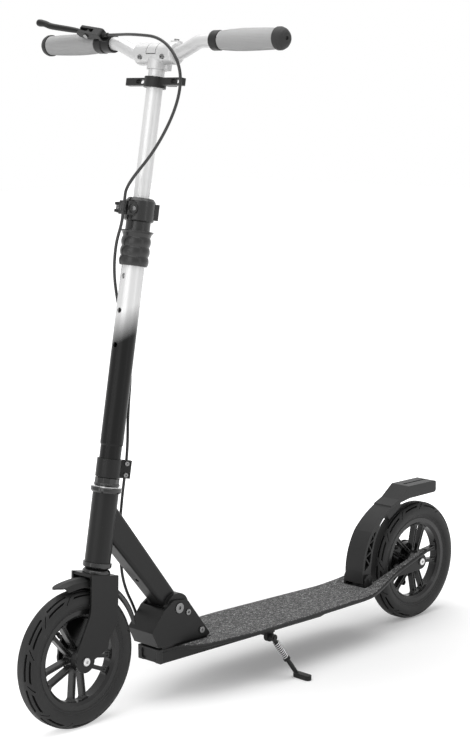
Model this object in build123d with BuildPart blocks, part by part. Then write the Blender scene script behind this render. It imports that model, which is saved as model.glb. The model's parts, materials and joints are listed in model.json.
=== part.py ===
from build123d import *
from math import cos, pi, radians, sin, sqrt, tan
import os

os.makedirs("parts", exist_ok=True)

# Clearances
FIT = 0.05
GAP = 0.3

# Stance: the two axles lie this far apart, centred on the origin
WHEELBASE = 861.4
WHEEL_R = 115.0
TYRE_W = 36.0
FRONT_X = WHEELBASE / 2
REAR_X = -WHEELBASE / 2

# Wheel
CROWN_HALF = 6.5
TYRE_H = 31.0
BEAD_R = WHEEL_R - TYRE_H
BEAD_HALF = 12.5
TUBE_R = 12.8
TUBE_PITCH_R = WHEEL_R - 3.0 - TUBE_R - 0.2
RIM_H = 13.0
RIM_IN_R = BEAD_R - RIM_H
RIM_HALF = 13.0
HUB_R = 19.0
HUB_HALF = 17.5
SPOKE_PAIRS = 5
SPOKE_HALF = 6.0
SPOKE_W = 7.0
SPOKE_SPREAD_HUB = 7.5
SPOKE_SPREAD_RIM = 12.5
SPOKE_ROOT = 6.0
SPOKE_GROOVE_W = 2.8
SPOKE_GROOVE = 1.5
BEARING_R = 11.0
BEARING_W = 7.0
AXLE_R = 4.0
SLEEVE_R = 6.5
DRUM_R = 34.0
DRUM_WALL = 4.0

# Fork and steering geometry
RAKE = 10.7
FORK_OFFSET = 22.0
FORK_IN = TYRE_W / 2 + 3.0
LEG_T = 4.5
LEG_END_R = 19.0
CROWN_CLEAR = 24.0
CROWN_T = 5.0
CROWN_FRONT = 31.5
CROWN_REAR = 27.0
STEERER_R = 15.9
STEERER_BORE = 13.0
SIN_R = sin(radians(RAKE))
COS_R = cos(radians(RAKE))
AXLE_K = (WHEEL_R - FORK_OFFSET * SIN_R) / COS_R
STEER_X = FRONT_X + AXLE_K * SIN_R - FORK_OFFSET * COS_R

# Lengths along the steering axis
HEAD_LEN = 115.0
NUT_H = 14.0
RING_H = 30.0
COLUMN_LEN = 398.0
SLEEVE_LEN = 57.0
SLEEVE_DROP = 47.0
COLLAR_H = 38.0
FREE_TUBE = 179.0
STRAP_H = 17.0
BAR_ABOVE_STRAP = 38.5

# Heights along the steering axis, measured from the ground
CROWN_TOP = 2 * WHEEL_R + CROWN_CLEAR
CUP_LOW = CROWN_TOP + 10.0
HEAD_LOW = CUP_LOW + 8.0
HEAD_TOP = HEAD_LOW + HEAD_LEN
CUP_TOP = HEAD_TOP + 9.0
NUT_LOW = CUP_TOP + 1.5
NUT_TOP = NUT_LOW + NUT_H
RING_LOW = NUT_TOP + 1.0
RING_TOP = RING_LOW + RING_H
NECK_TOP = RING_TOP + 21.5
COLUMN_TOP = NECK_TOP + COLUMN_LEN
SLEEVE_TOP = COLUMN_TOP - SLEEVE_DROP
SLEEVE_LOW = SLEEVE_TOP - SLEEVE_LEN
COLLAR_TOP = COLUMN_TOP + 6.0
COLLAR_LOW = COLLAR_TOP - COLLAR_H
STRAP_LOW = COLLAR_TOP + FREE_TUBE
STRAP_TOP = STRAP_LOW + STRAP_H
BAR_K = STRAP_TOP + BAR_ABOVE_STRAP

# Head frame
HEAD_R = 21.5
HEAD_BORE = 18.5
CUP_LOW_R = 24.0
CUP_TOP_R = 25.7
BEAM_K = HEAD_LOW + 75.0
BEAM_W = 36.0
BEAM_DEPTH_TOP = 46.0
BEAM_DEPTH_LOW = 35.0
BEAM_WALL = 3.0
KNUCKLE_R = 25.0
KNUCKLE_HALF = 25.5

# Column and T-bar
COLUMN_R = 19.0
NECK_R = 17.7
COLUMN_BORE = 15.95
UPPER_R = 13.3
UPPER_BORE = 11.6
UPPER_LOW = COLUMN_TOP - 162.0
HOLE_TOP_K = UPPER_LOW + 40.0
HOLE_PITCH = 56.0
HOLES = 3
HOLE_R = 4.6
BUTTON_R = 4.0
SLEEVE_OUT_R = 24.4
SLEEVE_WAVE = 2.0
SLEEVE_BULGES = 3
SLEEVE_LIP = 2.4
SLEEVE_LIP_H = 10.0
SLEEVE_NECK_R = COLUMN_R + 1.2
COLLAR_R = 24.5
EAR_N = 36.0
EAR_HALF = 13.0
SKEWER_N = 29.0
SKEWER_R = 3.0
LEVER_Y = -20.0
RING_R = 20.8
LUG_ANGLE = 155.0
LUG_END = 37.0
LUG_HALF = 4.3

# Handlebar
BAR_R = 11.1
BAR_WALL = 1.8
STEM_HALF = 44.0
STEM_R = 18.3
BAR_SWEEP = 3.5
BAR_RISE = 18.0
BEND_IN = 50.5
BEND_OUT = 96.0
BEND_BAR_R = 46.0
RING_IN = 127.0
RING_LEN = 17.0
GRIP_LEN = 122.0
GRIP_IN = RING_IN + RING_LEN
GRIP_END = GRIP_IN + GRIP_LEN
GRIP_R = 17.6
PLUG_T = 17.0

# Deck
NOSE_GAP = 53.7
NOSE_X = FRONT_X - WHEEL_R - NOSE_GAP
DECK_Z = 97.0
DECK_PITCH = 0.63
PLATE_T = 6.0
CORE_HALF = 26.5
CORE_H = 25.0
CORE_WALL = 2.5
SLOT_CLEAR = 23.7
SLOT_X = REAR_X + WHEEL_R + SLOT_CLEAR
SLOT_HALF = TYRE_W / 2 + 3.3
HINGE_X = SLOT_X + 19.0
BEND_X = HINGE_X + 18.0
BEND_R = 300.0
CORE_END = BEND_X + 43.0
CORE_TAPER = 75.0
CORE_TAIL = 3.0
DECK_HALF = 73.0
SHOULDER_HALF = 58.5
TAIL_HALF = 61.0
ARM_X = REAR_X - 10.3
ARM_Z = WHEEL_R + 25.0
ARM_OUT = 36.0
ARM_ROUND = 5.0
TAPE_T = 1.0
CAP_T = 6.4

# Fold block
PIVOT_X = NOSE_X - 38.0
PIVOT_Z = DECK_Z + 65.0
PIVOT_R = 6.0
BLOCK_HALF = 30.0
BLOCK_WALL = 4.0
FRONT_WALL = 2.2
LOCK_X = PIVOT_X - 20.0
LOCK_Z = PIVOT_Z - 11.0
LOCK_R = 5.0

# Rear end
DROP_T = 5.0
DROP_R = 15.0
FENDER_HALF = TYRE_W / 2 + 3.5
HINGE_Z = DECK_Z + 12.0
PAD_GAP = 6.5
PAD_HALF = 10.0
PAD_ANGLE = 60.0
PAD_SPREAD = 9.5
PIN_R = 3.0
CAM_X = REAR_X - 7.3
CAM_Z = WHEEL_R - 23.0
CAM_R = 3.5
ARM_LEN = 30.0
STOP_X = REAR_X + 30.7

# Kickstand
STAND_X = 41.0
STAND_Y = 73.0
STAND_Z = 78.0
FOOT_X = -2.0
FOOT_Y = 93.0
FOOT_H = 9.0
ROD_R = 4.0
STAND_PIN_R = 3.5
COIL_R = 5.3
COIL_WIRE = 0.9
COIL_TURNS = 9
COIL_START = 9.5
COIL_END = 46.0

# Cable
CABLE_R = 2.5
WIRE_R = 0.8

STEER = Plane(origin=(STEER_X, 0, 0), x_dir=(COS_R, 0, SIN_R), z_dir=(-SIN_R, 0, COS_R))
SIDE = Plane(origin=(STEER_X, 0, 0), x_dir=(COS_R, 0, SIN_R), z_dir=(0, -1, 0))
STEER_AXIS = Axis((STEER_X, 0, 0), (-SIN_R, 0, COS_R))


def save(body, name):
    body.label = name
    export_step(body, f"parts/{name}.step")


def deck_z(x):
    """Height of the deck's top face."""
    return DECK_Z - (NOSE_X - x) * tan(radians(DECK_PITCH))


def arm_z(x):
    """Height of the rising tail's top face."""
    slope = (ARM_Z - deck_z(BEND_X)) / (ARM_X - BEND_X)
    return deck_z(BEND_X) + slope * (x - BEND_X)


def world(n, y, k):
    """Point given forward of, beside and along the steering axis."""
    return (STEER_X + n * COS_R - k * SIN_R, y, n * SIN_R + k * COS_R)


def steer_tube(r_out, r_in, low, top):
    """Straight tube on the steering axis."""
    with BuildPart(STEER) as tube:
        with Locations((0, 0, (low + top) / 2)):
            Cylinder(r_out, top - low)
            Cylinder(r_in, top - low, mode=Mode.SUBTRACT)
    return tube.part


def turned(plane, axis, outline):
    """Body turned from a closed outline about an axis in the outline's plane."""
    with BuildPart() as body:
        with BuildSketch(plane):
            with BuildLine():
                Polyline(*outline, close=True)
            make_face()
        revolve(axis=axis)
    return body.part


def steer_turned(outline):
    return turned(SIDE, STEER_AXIS, outline)


def cross(x, z, y0, y1, radius, bore=0.0):
    """Round piece lying across the scooter."""
    with BuildPart() as body:
        with BuildSketch(Plane.XZ.offset(-y0)):
            with Locations((x, z)):
                Circle(radius)
                if bore:
                    Circle(bore, mode=Mode.SUBTRACT)
        extrude(amount=-(y1 - y0))
    return body.part


def tyre(x):
    """Hollow tyre with a flat crown, round shoulders and an open bead."""
    plane = Plane(origin=(x, 0, WHEEL_R), x_dir=(1, 0, 0), z_dir=(0, 0, 1))
    half = TYRE_W / 2
    with BuildPart() as body:
        with BuildSketch(plane):
            with BuildLine():
                bead = Line((BEAD_R, 0), (BEAD_R, BEAD_HALF))
                foot = Line(bead @ 1, (BEAD_R + 8, half - 1.2))
                side = ThreePointArc(foot @ 1, (BEAD_R + 14.5, half), (WHEEL_R - 10, half - 1.2))
                shoulder = ThreePointArc(side @ 1, (WHEEL_R - 3.2, 12.4), (WHEEL_R, CROWN_HALF))
                crown = Line(shoulder @ 1, (WHEEL_R, 0))
                Line(crown @ 1, bead @ 0)
            make_face()
            mirror(about=Plane.XZ)
            with Locations((TUBE_PITCH_R, 0)):
                Circle(TUBE_R + 0.2, mode=Mode.SUBTRACT)
            with Locations((BEAD_R, 0)):
                Rectangle(12, 16, mode=Mode.SUBTRACT)
        revolve(axis=Axis((x, 0, WHEEL_R), (0, 1, 0)))
    return body.part


def inner_tube(x, valve_angle):
    """Air tube with its valve stem through the rim."""
    plane = Plane(origin=(x, 0, WHEEL_R), x_dir=(1, 0, 0), z_dir=(0, 0, 1))
    a = radians(valve_angle)
    stem = Plane(origin=(x, 0, WHEEL_R), x_dir=(0, 1, 0), z_dir=(cos(a), 0, sin(a)))
    with BuildPart() as body:
        with BuildSketch(plane):
            with Locations((TUBE_PITCH_R, 0)):
                Circle(TUBE_R)
                Circle(TUBE_R - 1.6, mode=Mode.SUBTRACT)
        revolve(axis=Axis((x, 0, WHEEL_R), (0, 1, 0)))
        with BuildSketch(stem.offset(RIM_IN_R - 18)):
            Circle(2.6)
        extrude(amount=TUBE_PITCH_R - TUBE_R - RIM_IN_R + 18.8)
        with BuildSketch(stem.offset(RIM_IN_R - 18)):
            Circle(3.6)
        extrude(amount=9)
    return body.part


def spoke_pair(start_r, stop_r, width):
    """Two strips that spread towards the rim, laid in the open sketch."""
    spread = (SPOKE_SPREAD_RIM - SPOKE_SPREAD_HUB) / (RIM_IN_R - HUB_R)
    for side in (-1, 1):
        inner = side * (SPOKE_SPREAD_HUB + spread * (start_r - HUB_R))
        outer = side * (SPOKE_SPREAD_HUB + spread * (stop_r - HUB_R))
        Polygon(
            (start_r, inner - width / 2), (stop_r, outer - width / 2), (stop_r, outer + width / 2),
            (start_r, inner + width / 2), align=None,
        )


def rim(x, first_angle, valve_angle, drum):
    """Cast rim with five twin spokes, hub and bearing seats."""
    plane = Plane(origin=(x, 0, WHEEL_R), x_dir=(1, 0, 0), z_dir=(0, 0, 1))
    face = Plane(origin=(x, 0, WHEEL_R), x_dir=(1, 0, 0), z_dir=(0, -1, 0))
    axis = Axis((x, 0, WHEEL_R), (0, 1, 0))
    seat = BEAD_R - 0.1
    a = radians(valve_angle)
    with BuildPart() as body:
        with BuildSketch(plane):
            with BuildLine():
                Polyline(
                    (RIM_IN_R, -9), (RIM_IN_R + 5, -RIM_HALF), (seat, -RIM_HALF), (seat, -8), (seat - 4, -6),
                    (seat - 4, 6), (seat, 8), (seat, RIM_HALF), (RIM_IN_R + 5, RIM_HALF), (RIM_IN_R, 9),
                    close=True,
                )
            make_face()
            with BuildLine():
                Polyline((0, -HUB_HALF), (HUB_R - 4, -HUB_HALF), (HUB_R, -9), (HUB_R, 9),
                         (HUB_R - 4, HUB_HALF), (0, HUB_HALF), close=True)
            make_face()
        revolve(axis=axis)
        with BuildSketch(face) as star:
            Circle(RIM_IN_R + 3)
            Circle(RIM_IN_R, mode=Mode.SUBTRACT)
            Circle(HUB_R - 1)
            with PolarLocations(0, SPOKE_PAIRS, start_angle=first_angle):
                spoke_pair(HUB_R - 4, RIM_IN_R + 2, SPOKE_W)
            roots = star.vertices().filter_by(lambda v: abs(v.center().length - RIM_IN_R) < 0.05)
            fillet(roots.filter_by(lambda v: abs(v.Y) > 0.5), SPOKE_ROOT)
        extrude(amount=SPOKE_HALF, both=True)
        for way in (-1, 1):
            with BuildSketch(face.offset(way * SPOKE_HALF)):
                with PolarLocations(0, SPOKE_PAIRS, start_angle=first_angle):
                    spoke_pair(HUB_R + 3, RIM_IN_R - 7, SPOKE_GROOVE_W)
            extrude(amount=-way * SPOKE_GROOVE, mode=Mode.SUBTRACT)
        if drum:
            with BuildSketch(face.offset(SPOKE_HALF - 2)):
                Circle(DRUM_R)
            extrude(amount=3)
            with BuildSketch(face.offset(SPOKE_HALF)):
                Circle(DRUM_R)
                Circle(DRUM_R - DRUM_WALL, mode=Mode.SUBTRACT)
            extrude(amount=HUB_HALF - SPOKE_HALF)
        with BuildSketch(face):
            Circle(SLEEVE_R + 1.5)
        extrude(amount=HUB_HALF + 1, both=True, mode=Mode.SUBTRACT)
        for way in (-1, 1):
            with BuildSketch(face.offset(way * HUB_HALF)):
                Circle(BEARING_R + FIT)
            extrude(amount=-way * BEARING_W, mode=Mode.SUBTRACT)
        stem = Plane(origin=(x, 0, WHEEL_R), x_dir=(0, 1, 0), z_dir=(cos(a), 0, sin(a)))
        with BuildSketch(stem.offset(HUB_R + 8)):
            Circle(4.0)
        extrude(amount=BEAD_R, mode=Mode.SUBTRACT)
    return body.part


def bearings(x):
    """Two ball bearings with the step between their races."""
    with BuildPart() as pair:
        for way in (-1, 1):
            plane = Plane(origin=(x, 0, WHEEL_R), x_dir=(1, 0, 0), z_dir=(0, 0, 1))
            out = way * HUB_HALF
            inn = way * (HUB_HALF - BEARING_W)
            add(turned(plane, Axis((x, 0, WHEEL_R), (0, 1, 0)), [
                (AXLE_R + 0.03, inn), (AXLE_R + 0.03, out), (6.2, out), (6.2, out - way * 0.6),
                (9.4, out - way * 0.6), (9.4, out), (BEARING_R, out), (BEARING_R, inn),
            ]))
    return pair.part


def spacers(x, right_end):
    """Sleeve between the inner races and the two outer spacers, clamped with the axle."""
    with BuildPart() as group:
        between = HUB_HALF - BEARING_W - FIT
        add(cross(x, WHEEL_R, -between, between, SLEEVE_R, AXLE_R + FIT))
        add(cross(x, WHEEL_R, HUB_HALF + FIT, FORK_IN - FIT, SLEEVE_R, AXLE_R + FIT))
        add(cross(x, WHEEL_R, right_end, -HUB_HALF - FIT, SLEEVE_R, AXLE_R + FIT))
    return group.part


def axle(x, grip):
    """Through bolt with a socket head on the left and a hexagon nut on the right."""
    head = Plane.XZ.offset(-grip - 3.6)
    with BuildPart() as group:
        add(cross(x, WHEEL_R, -grip - 9, grip, AXLE_R))
        add(cross(x, WHEEL_R, grip, grip + 3.6, 6.8))
        with BuildSketch(head):
            with Locations((x, WHEEL_R)):
                RegularPolygon(2.9, 6)
        extrude(amount=2.4, mode=Mode.SUBTRACT)
        chamfer(group.edges().filter_by(GeomType.CIRCLE).group_by(Axis.Y)[-1], 0.8)
    with BuildPart() as nut:
        with BuildSketch(Plane.XZ.offset(grip)):
            with Locations((x, WHEEL_R)):
                RegularPolygon(7.5, 6)
                Circle(AXLE_R + FIT, mode=Mode.SUBTRACT)
        extrude(amount=6.5)
    return Compound([group.part, nut.part])


# Wheels
FRONT_FIRST = -90.0
REAR_FIRST = 36.0
FRONT_VALVE = FRONT_FIRST + 2 * 360 / SPOKE_PAIRS
REAR_VALVE = REAR_FIRST
save(tyre(FRONT_X), "front_tyre")
save(tyre(REAR_X), "rear_tyre")
save(inner_tube(FRONT_X, FRONT_VALVE), "front_inner_tube")
save(inner_tube(REAR_X, REAR_VALVE), "rear_inner_tube")
save(rim(FRONT_X, FRONT_FIRST, FRONT_VALVE, False), "front_rim")
save(rim(REAR_X, REAR_FIRST, REAR_VALVE, True), "rear_rim")
save(bearings(FRONT_X), "front_bearings")
save(bearings(REAR_X), "rear_bearings")
PLATE_IN = -HUB_HALF - 0.6
PLATE_OUT = -FORK_IN + FIT
save(spacers(FRONT_X, -FORK_IN + FIT), "front_axle_spacers")
save(spacers(REAR_X, PLATE_IN + FIT), "rear_axle_spacers")
save(axle(FRONT_X, FORK_IN + LEG_T), "front_axle")
save(axle(REAR_X, FORK_IN + DROP_T), "rear_axle")

# Fork: two curved legs, crown bridge and steerer tube
with BuildPart() as fork:
    for way in (-1, 1):
        with BuildSketch(SIDE.offset(way * (FORK_IN + LEG_T / 2))):
            with BuildLine():
                FilletPolyline(
                    (CROWN_FRONT, CROWN_TOP), (22.5, CROWN_TOP - 62), (42, AXLE_K + 15),
                    (FORK_OFFSET + LEG_END_R - 1, AXLE_K), (FORK_OFFSET, AXLE_K - LEG_END_R + 3),
                    (FORK_OFFSET - 14, AXLE_K), (-23, AXLE_K + 19), (-24, AXLE_K + 34),
                    (-38, CROWN_TOP - 78), (-33, CROWN_TOP - 41), (-CROWN_REAR, CROWN_TOP),
                    radius=[0, 55, 12, 4, 8, 6, 6, 8, 14, 40, 0], close=True,
                )
            make_face()
            with Locations((FORK_OFFSET, AXLE_K)):
                Circle(LEG_END_R)
                Circle(AXLE_R + FIT, mode=Mode.SUBTRACT)
        extrude(amount=LEG_T / 2, both=True)
    with BuildSketch(SIDE):
        with Locations(((CROWN_FRONT - CROWN_REAR) / 2, CROWN_TOP - CROWN_T / 2)):
            Rectangle(CROWN_FRONT + CROWN_REAR - 4, CROWN_T)
    extrude(amount=FORK_IN + 1, both=True)
    with BuildSketch(STEER.offset(CROWN_TOP - CROWN_T)):
        Circle(STEERER_R)
    extrude(amount=RING_TOP - 2 - CROWN_TOP + CROWN_T)
    with BuildSketch(STEER.offset(CROWN_TOP)):
        Circle(STEERER_BORE)
    extrude(amount=RING_TOP - CROWN_TOP, mode=Mode.SUBTRACT)
    with BuildSketch(STEER.offset(CROWN_TOP - CROWN_T)):
        Circle(3.0)
    extrude(amount=CROWN_T, mode=Mode.SUBTRACT)
save(fork.part, "fork")

# Headset: race, cups, bearings and a twelve-sided locknut
RACE_TOP = CUP_LOW - 1.0
BALL_R = 18.5
CUP_DEEP = 9.0
CUP_BORE = 16.4
NUT_R = 20.6
save(steer_turned([
    (STEERER_R + FIT, CROWN_TOP), (23.2, CROWN_TOP), (23.2, CROWN_TOP + 4), (20.5, RACE_TOP - 2),
    (18.0, RACE_TOP), (STEERER_R + FIT, RACE_TOP),
]), "crown_race")
with BuildPart() as headset_cups:
    add(steer_turned([
        (BALL_R + FIT, CUP_LOW), (CUP_LOW_R - 1, CUP_LOW), (CUP_LOW_R, CUP_LOW + 1.5), (CUP_LOW_R, HEAD_LOW),
        (HEAD_BORE - FIT, HEAD_LOW), (HEAD_BORE - FIT, HEAD_LOW + CUP_DEEP), (CUP_BORE, HEAD_LOW + CUP_DEEP),
        (CUP_BORE, HEAD_LOW - 1), (BALL_R + FIT, HEAD_LOW - 1),
    ]))
    add(steer_turned([
        (BALL_R + FIT, CUP_TOP), (CUP_TOP_R - 1, CUP_TOP), (CUP_TOP_R, CUP_TOP - 1.5),
        (CUP_TOP_R, HEAD_TOP + 3), (CUP_TOP_R - 2, HEAD_TOP), (HEAD_BORE - FIT, HEAD_TOP),
        (HEAD_BORE - FIT, HEAD_TOP - CUP_DEEP), (CUP_BORE, HEAD_TOP - CUP_DEEP), (CUP_BORE, HEAD_TOP + 1),
        (BALL_R + FIT, HEAD_TOP + 1),
    ]))
save(headset_cups.part, "headset_cups")
with BuildPart() as headset_bearings:
    for low, top in ((RACE_TOP + GAP, HEAD_LOW - 1), (HEAD_TOP + 1, NUT_LOW - GAP)):
        add(steer_tube(BALL_R, STEERER_R + FIT, low, top))
save(headset_bearings.part, "headset_bearings")
with BuildPart() as locknut:
    add(steer_turned([
        (STEERER_R + FIT, NUT_LOW), (NUT_R - 1, NUT_LOW), (NUT_R + 0.8, NUT_LOW + 1.2),
        (NUT_R + 0.8, NUT_LOW + 4), (NUT_R, NUT_LOW + 4.6), (NUT_R, NUT_TOP - 1), (NUT_R - 1, NUT_TOP),
        (STEERER_R + FIT, NUT_TOP),
    ]))
    with BuildSketch(STEER.offset(NUT_LOW + 5)):
        Circle(NUT_R + 1)
        RegularPolygon(NUT_R - 0.6, 12, major_radius=False, mode=Mode.SUBTRACT)
    extrude(amount=NUT_H, mode=Mode.SUBTRACT)
save(locknut.part, "locknut")

# Head frame: head tube, tapered box beam and fold knuckle
BEAM_TOP = world(0, 0, BEAM_K)
BEAM_LOW_X = PIVOT_X + 13
BEAM_LOW_Z = PIVOT_Z + 17.5
BEAM_DX = BEAM_TOP[0] - BEAM_LOW_X
BEAM_DZ = BEAM_TOP[2] - BEAM_LOW_Z
BEAM_LEN = sqrt(BEAM_DX ** 2 + BEAM_DZ ** 2)
beam_plane = Plane(
    origin=(BEAM_LOW_X, 0, BEAM_LOW_Z), x_dir=(BEAM_DZ / BEAM_LEN, 0, -BEAM_DX / BEAM_LEN),
    z_dir=(BEAM_DX / BEAM_LEN, 0, BEAM_DZ / BEAM_LEN),
)
with BuildPart() as head_frame:
    with BuildSketch(beam_plane.offset(-8)):
        RectangleRounded(BEAM_DEPTH_LOW, BEAM_W, 6)
    with BuildSketch(beam_plane.offset(BEAM_LEN)):
        RectangleRounded(BEAM_DEPTH_TOP, BEAM_W, 6)
    loft()
    with BuildSketch(beam_plane.offset(24)):
        RectangleRounded(BEAM_DEPTH_LOW + 1 - 2 * BEAM_WALL, BEAM_W - 2 * BEAM_WALL, 3)
    with BuildSketch(beam_plane.offset(BEAM_LEN)):
        RectangleRounded(BEAM_DEPTH_TOP - 2 * BEAM_WALL, BEAM_W - 2 * BEAM_WALL, 3)
    loft(mode=Mode.SUBTRACT)
    with BuildSketch(STEER.offset(HEAD_LOW)):
        Circle(HEAD_R)
    extrude(amount=HEAD_TOP - HEAD_LOW)
    with BuildSketch(Plane.XZ):
        with Locations((PIVOT_X, PIVOT_Z)):
            Circle(KNUCKLE_R)
    extrude(amount=KNUCKLE_HALF, both=True)
    with BuildSketch(Plane.XZ):
        with Locations((PIVOT_X, PIVOT_Z)):
            Circle(PIVOT_R + FIT)
        with Locations((LOCK_X, LOCK_Z)):
            Circle(LOCK_R + GAP)
    extrude(amount=KNUCKLE_HALF, both=True, mode=Mode.SUBTRACT)
    with BuildSketch(beam_plane.offset(62)):
        with Locations((BEAM_DEPTH_TOP / 2, 0)):
            Rectangle(20, 7)
    extrude(amount=7, mode=Mode.SUBTRACT)
    with BuildSketch(STEER.offset(HEAD_LOW)):
        Circle(HEAD_BORE)
    extrude(amount=HEAD_TOP - HEAD_LOW, mode=Mode.SUBTRACT)
save(head_frame.part, "head_frame")

# Column: tube with a turned-down neck, height holes and a slit at each end
with BuildPart() as column:
    add(steer_turned([
        (COLUMN_BORE, RING_LOW), (NECK_R, RING_LOW), (NECK_R, NECK_TOP), (COLUMN_R, NECK_TOP + 3),
        (COLUMN_R, COLUMN_TOP), (COLUMN_BORE, COLUMN_TOP),
    ]))
    for i in range(HOLES):
        hole_at = world(0, 0, HOLE_TOP_K - i * HOLE_PITCH)
        with BuildSketch(Plane(origin=hole_at, x_dir=(0, 1, 0), z_dir=STEER.x_dir)):
            Circle(HOLE_R)
        extrude(amount=COLUMN_R + 2, mode=Mode.SUBTRACT)
    with BuildSketch(STEER.offset(COLUMN_TOP - 45)):
        with Locations((COLUMN_R, 0)):
            Rectangle(12, 2.5)
    extrude(amount=46, mode=Mode.SUBTRACT)
    with BuildSketch(STEER.offset(RING_LOW)):
        with Locations(Location((0, 0, 0), (0, 0, LUG_ANGLE))):
            with Locations((NECK_R, 0)):
                Rectangle(10, 2.5)
    extrude(amount=RING_TOP - RING_LOW + 8, mode=Mode.SUBTRACT)
save(column.part, "column")

# Hand sleeve with soft bulges, a flared lip and a smooth neck up to the clamp collar
bulge_pitch = (SLEEVE_LEN - SLEEVE_LIP_H) / SLEEVE_BULGES
valley_r = SLEEVE_OUT_R - SLEEVE_WAVE
with BuildPart() as column_sleeve:
    with BuildSketch(SIDE):
        with BuildLine():
            Line((COLUMN_R + FIT, SLEEVE_LOW), (valley_r, SLEEVE_LOW))
            for i in range(SLEEVE_BULGES):
                k = SLEEVE_LOW + i * bulge_pitch
                bulge = ThreePointArc(
                    (valley_r, k), (SLEEVE_OUT_R, k + bulge_pitch / 2), (valley_r, k + bulge_pitch),
                )
            Polyline(
                bulge @ 1, (SLEEVE_OUT_R, SLEEVE_TOP - 0.4 * SLEEVE_LIP_H),
                (SLEEVE_OUT_R + SLEEVE_LIP, SLEEVE_TOP - 1.5), (SLEEVE_OUT_R + SLEEVE_LIP, SLEEVE_TOP),
                (SLEEVE_NECK_R, SLEEVE_TOP), (SLEEVE_NECK_R, COLLAR_LOW), (COLUMN_R + FIT, COLLAR_LOW),
                (COLUMN_R + FIT, SLEEVE_LOW),
            )
        make_face()
    revolve(axis=STEER_AXIS)
save(column_sleeve.part, "column_sleeve")

# Plastic bush between the column and the sliding tube
save(steer_turned([
    (UPPER_R + FIT, COLUMN_TOP - 60), (COLUMN_BORE - FIT, COLUMN_TOP - 60), (COLUMN_BORE - FIT, COLUMN_TOP),
    (COLUMN_R - 0.4, COLUMN_TOP), (COLUMN_R - 0.4, COLLAR_TOP - 1), (UPPER_R + FIT, COLLAR_TOP - 1),
]), "column_bush")

# Clamp collar with two front ears, rear block and cable eye
EYE_N = EAR_N + 4.4
EYE_Y = 5.0
COLLAR_MID = (COLLAR_LOW + COLLAR_TOP) / 2
BOSS_R = 7.5
BOSS_H = 4.5
SKEWER_NUT_R = 4.4
LEVER_PIN_R = 2.5
skewer_plane = Plane(origin=world(SKEWER_N, 0, COLLAR_MID), x_dir=STEER.x_dir, z_dir=(0, 1, 0))
with BuildPart() as clamp_collar:
    add(steer_turned([
        (COLUMN_R, COLLAR_LOW), (COLLAR_R - 2, COLLAR_LOW), (COLLAR_R, COLLAR_LOW + 2),
        (COLLAR_R, COLLAR_TOP - 5), (COLLAR_R - 4, COLLAR_TOP), (COLUMN_R, COLLAR_TOP),
    ]))
    with BuildSketch(skewer_plane.offset(EAR_HALF - 1)):
        Circle(BOSS_R)
    extrude(amount=BOSS_H + 1)
    with BuildSketch(STEER.offset(COLLAR_MID - 11)):
        with Locations(((COLUMN_R + EAR_N) / 2, 0)):
            RectangleRounded(EAR_N - COLUMN_R, 2 * EAR_HALF, 3)
    extrude(amount=22)
    with BuildSketch(STEER.offset(COLLAR_MID - 14)):
        with Locations(Location((0, 0, 0), (0, 0, LUG_ANGLE))):
            with Locations((COLLAR_R, 0)):
                RectangleRounded(13, 16, 2.5)
    extrude(amount=26)
    with BuildSketch(STEER.offset(COLLAR_MID - 5)):
        with Locations((EYE_N, EYE_Y)):
            Circle(4.9)
    extrude(amount=10)
    with BuildSketch(STEER.offset(COLLAR_LOW)):
        Circle(COLUMN_R + FIT)
        with Locations((EAR_N / 2, 0)):
            Rectangle(EAR_N + 2, 3)
        with Locations((EYE_N, EYE_Y)):
            Circle(CABLE_R + 0.1)
    extrude(amount=COLLAR_TOP - COLLAR_LOW, mode=Mode.SUBTRACT)
    with BuildSketch(skewer_plane):
        Circle(SKEWER_R + FIT)
    extrude(amount=EAR_HALF + 1, both=True, mode=Mode.SUBTRACT)
    with BuildSketch(skewer_plane.offset(EAR_HALF)):
        Circle(SKEWER_NUT_R + FIT)
    extrude(amount=BOSS_H, mode=Mode.SUBTRACT)
save(clamp_collar.part, "clamp_collar")

# Skewer with its sunk nut and the upright pin the lever turns on
with BuildPart() as clamp_skewer:
    with BuildSketch(skewer_plane.offset(LEVER_Y)):
        Circle(SKEWER_R)
    extrude(amount=EAR_HALF + BOSS_H + 1 - LEVER_Y)
    with BuildSketch(skewer_plane.offset(EAR_HALF)):
        RegularPolygon(SKEWER_NUT_R, 6)
    extrude(amount=BOSS_H - 1)
    with BuildSketch(STEER.offset(COLLAR_MID - 9)):
        with Locations((SKEWER_N, LEVER_Y)):
            Circle(LEVER_PIN_R)
    extrude(amount=18)
save(clamp_skewer.part, "clamp_skewer")

with BuildPart() as clamp_lever:
    with BuildSketch(STEER.offset(COLLAR_MID - 8)):
        with BuildLine():
            FilletPolyline(
                (SKEWER_N + 5, LEVER_Y - 3), (SKEWER_N - 2, LEVER_Y - 8), (4, -33), (-20, -34), (-21, -30.5),
                (3, -29), (SKEWER_N - 5, LEVER_Y + 1), radius=[0, 6, 20, 1.4, 1.4, 20, 0], close=True,
            )
        make_face()
        with Locations((SKEWER_N, LEVER_Y)):
            Circle(6.5)
    extrude(amount=16)
    with BuildSketch(STEER.offset(COLLAR_MID - 3.6)):
        with Locations((SKEWER_N, LEVER_Y)):
            Circle(8)
        with Locations((SKEWER_N, LEVER_Y + 6)):
            Rectangle(16, 12)
    extrude(amount=7.2, mode=Mode.SUBTRACT)
    with BuildSketch(STEER.offset(COLLAR_MID - 8)):
        with Locations((SKEWER_N, LEVER_Y)):
            Circle(LEVER_PIN_R + FIT)
    extrude(amount=16, mode=Mode.SUBTRACT)
save(clamp_lever.part, "clamp_lever")

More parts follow.
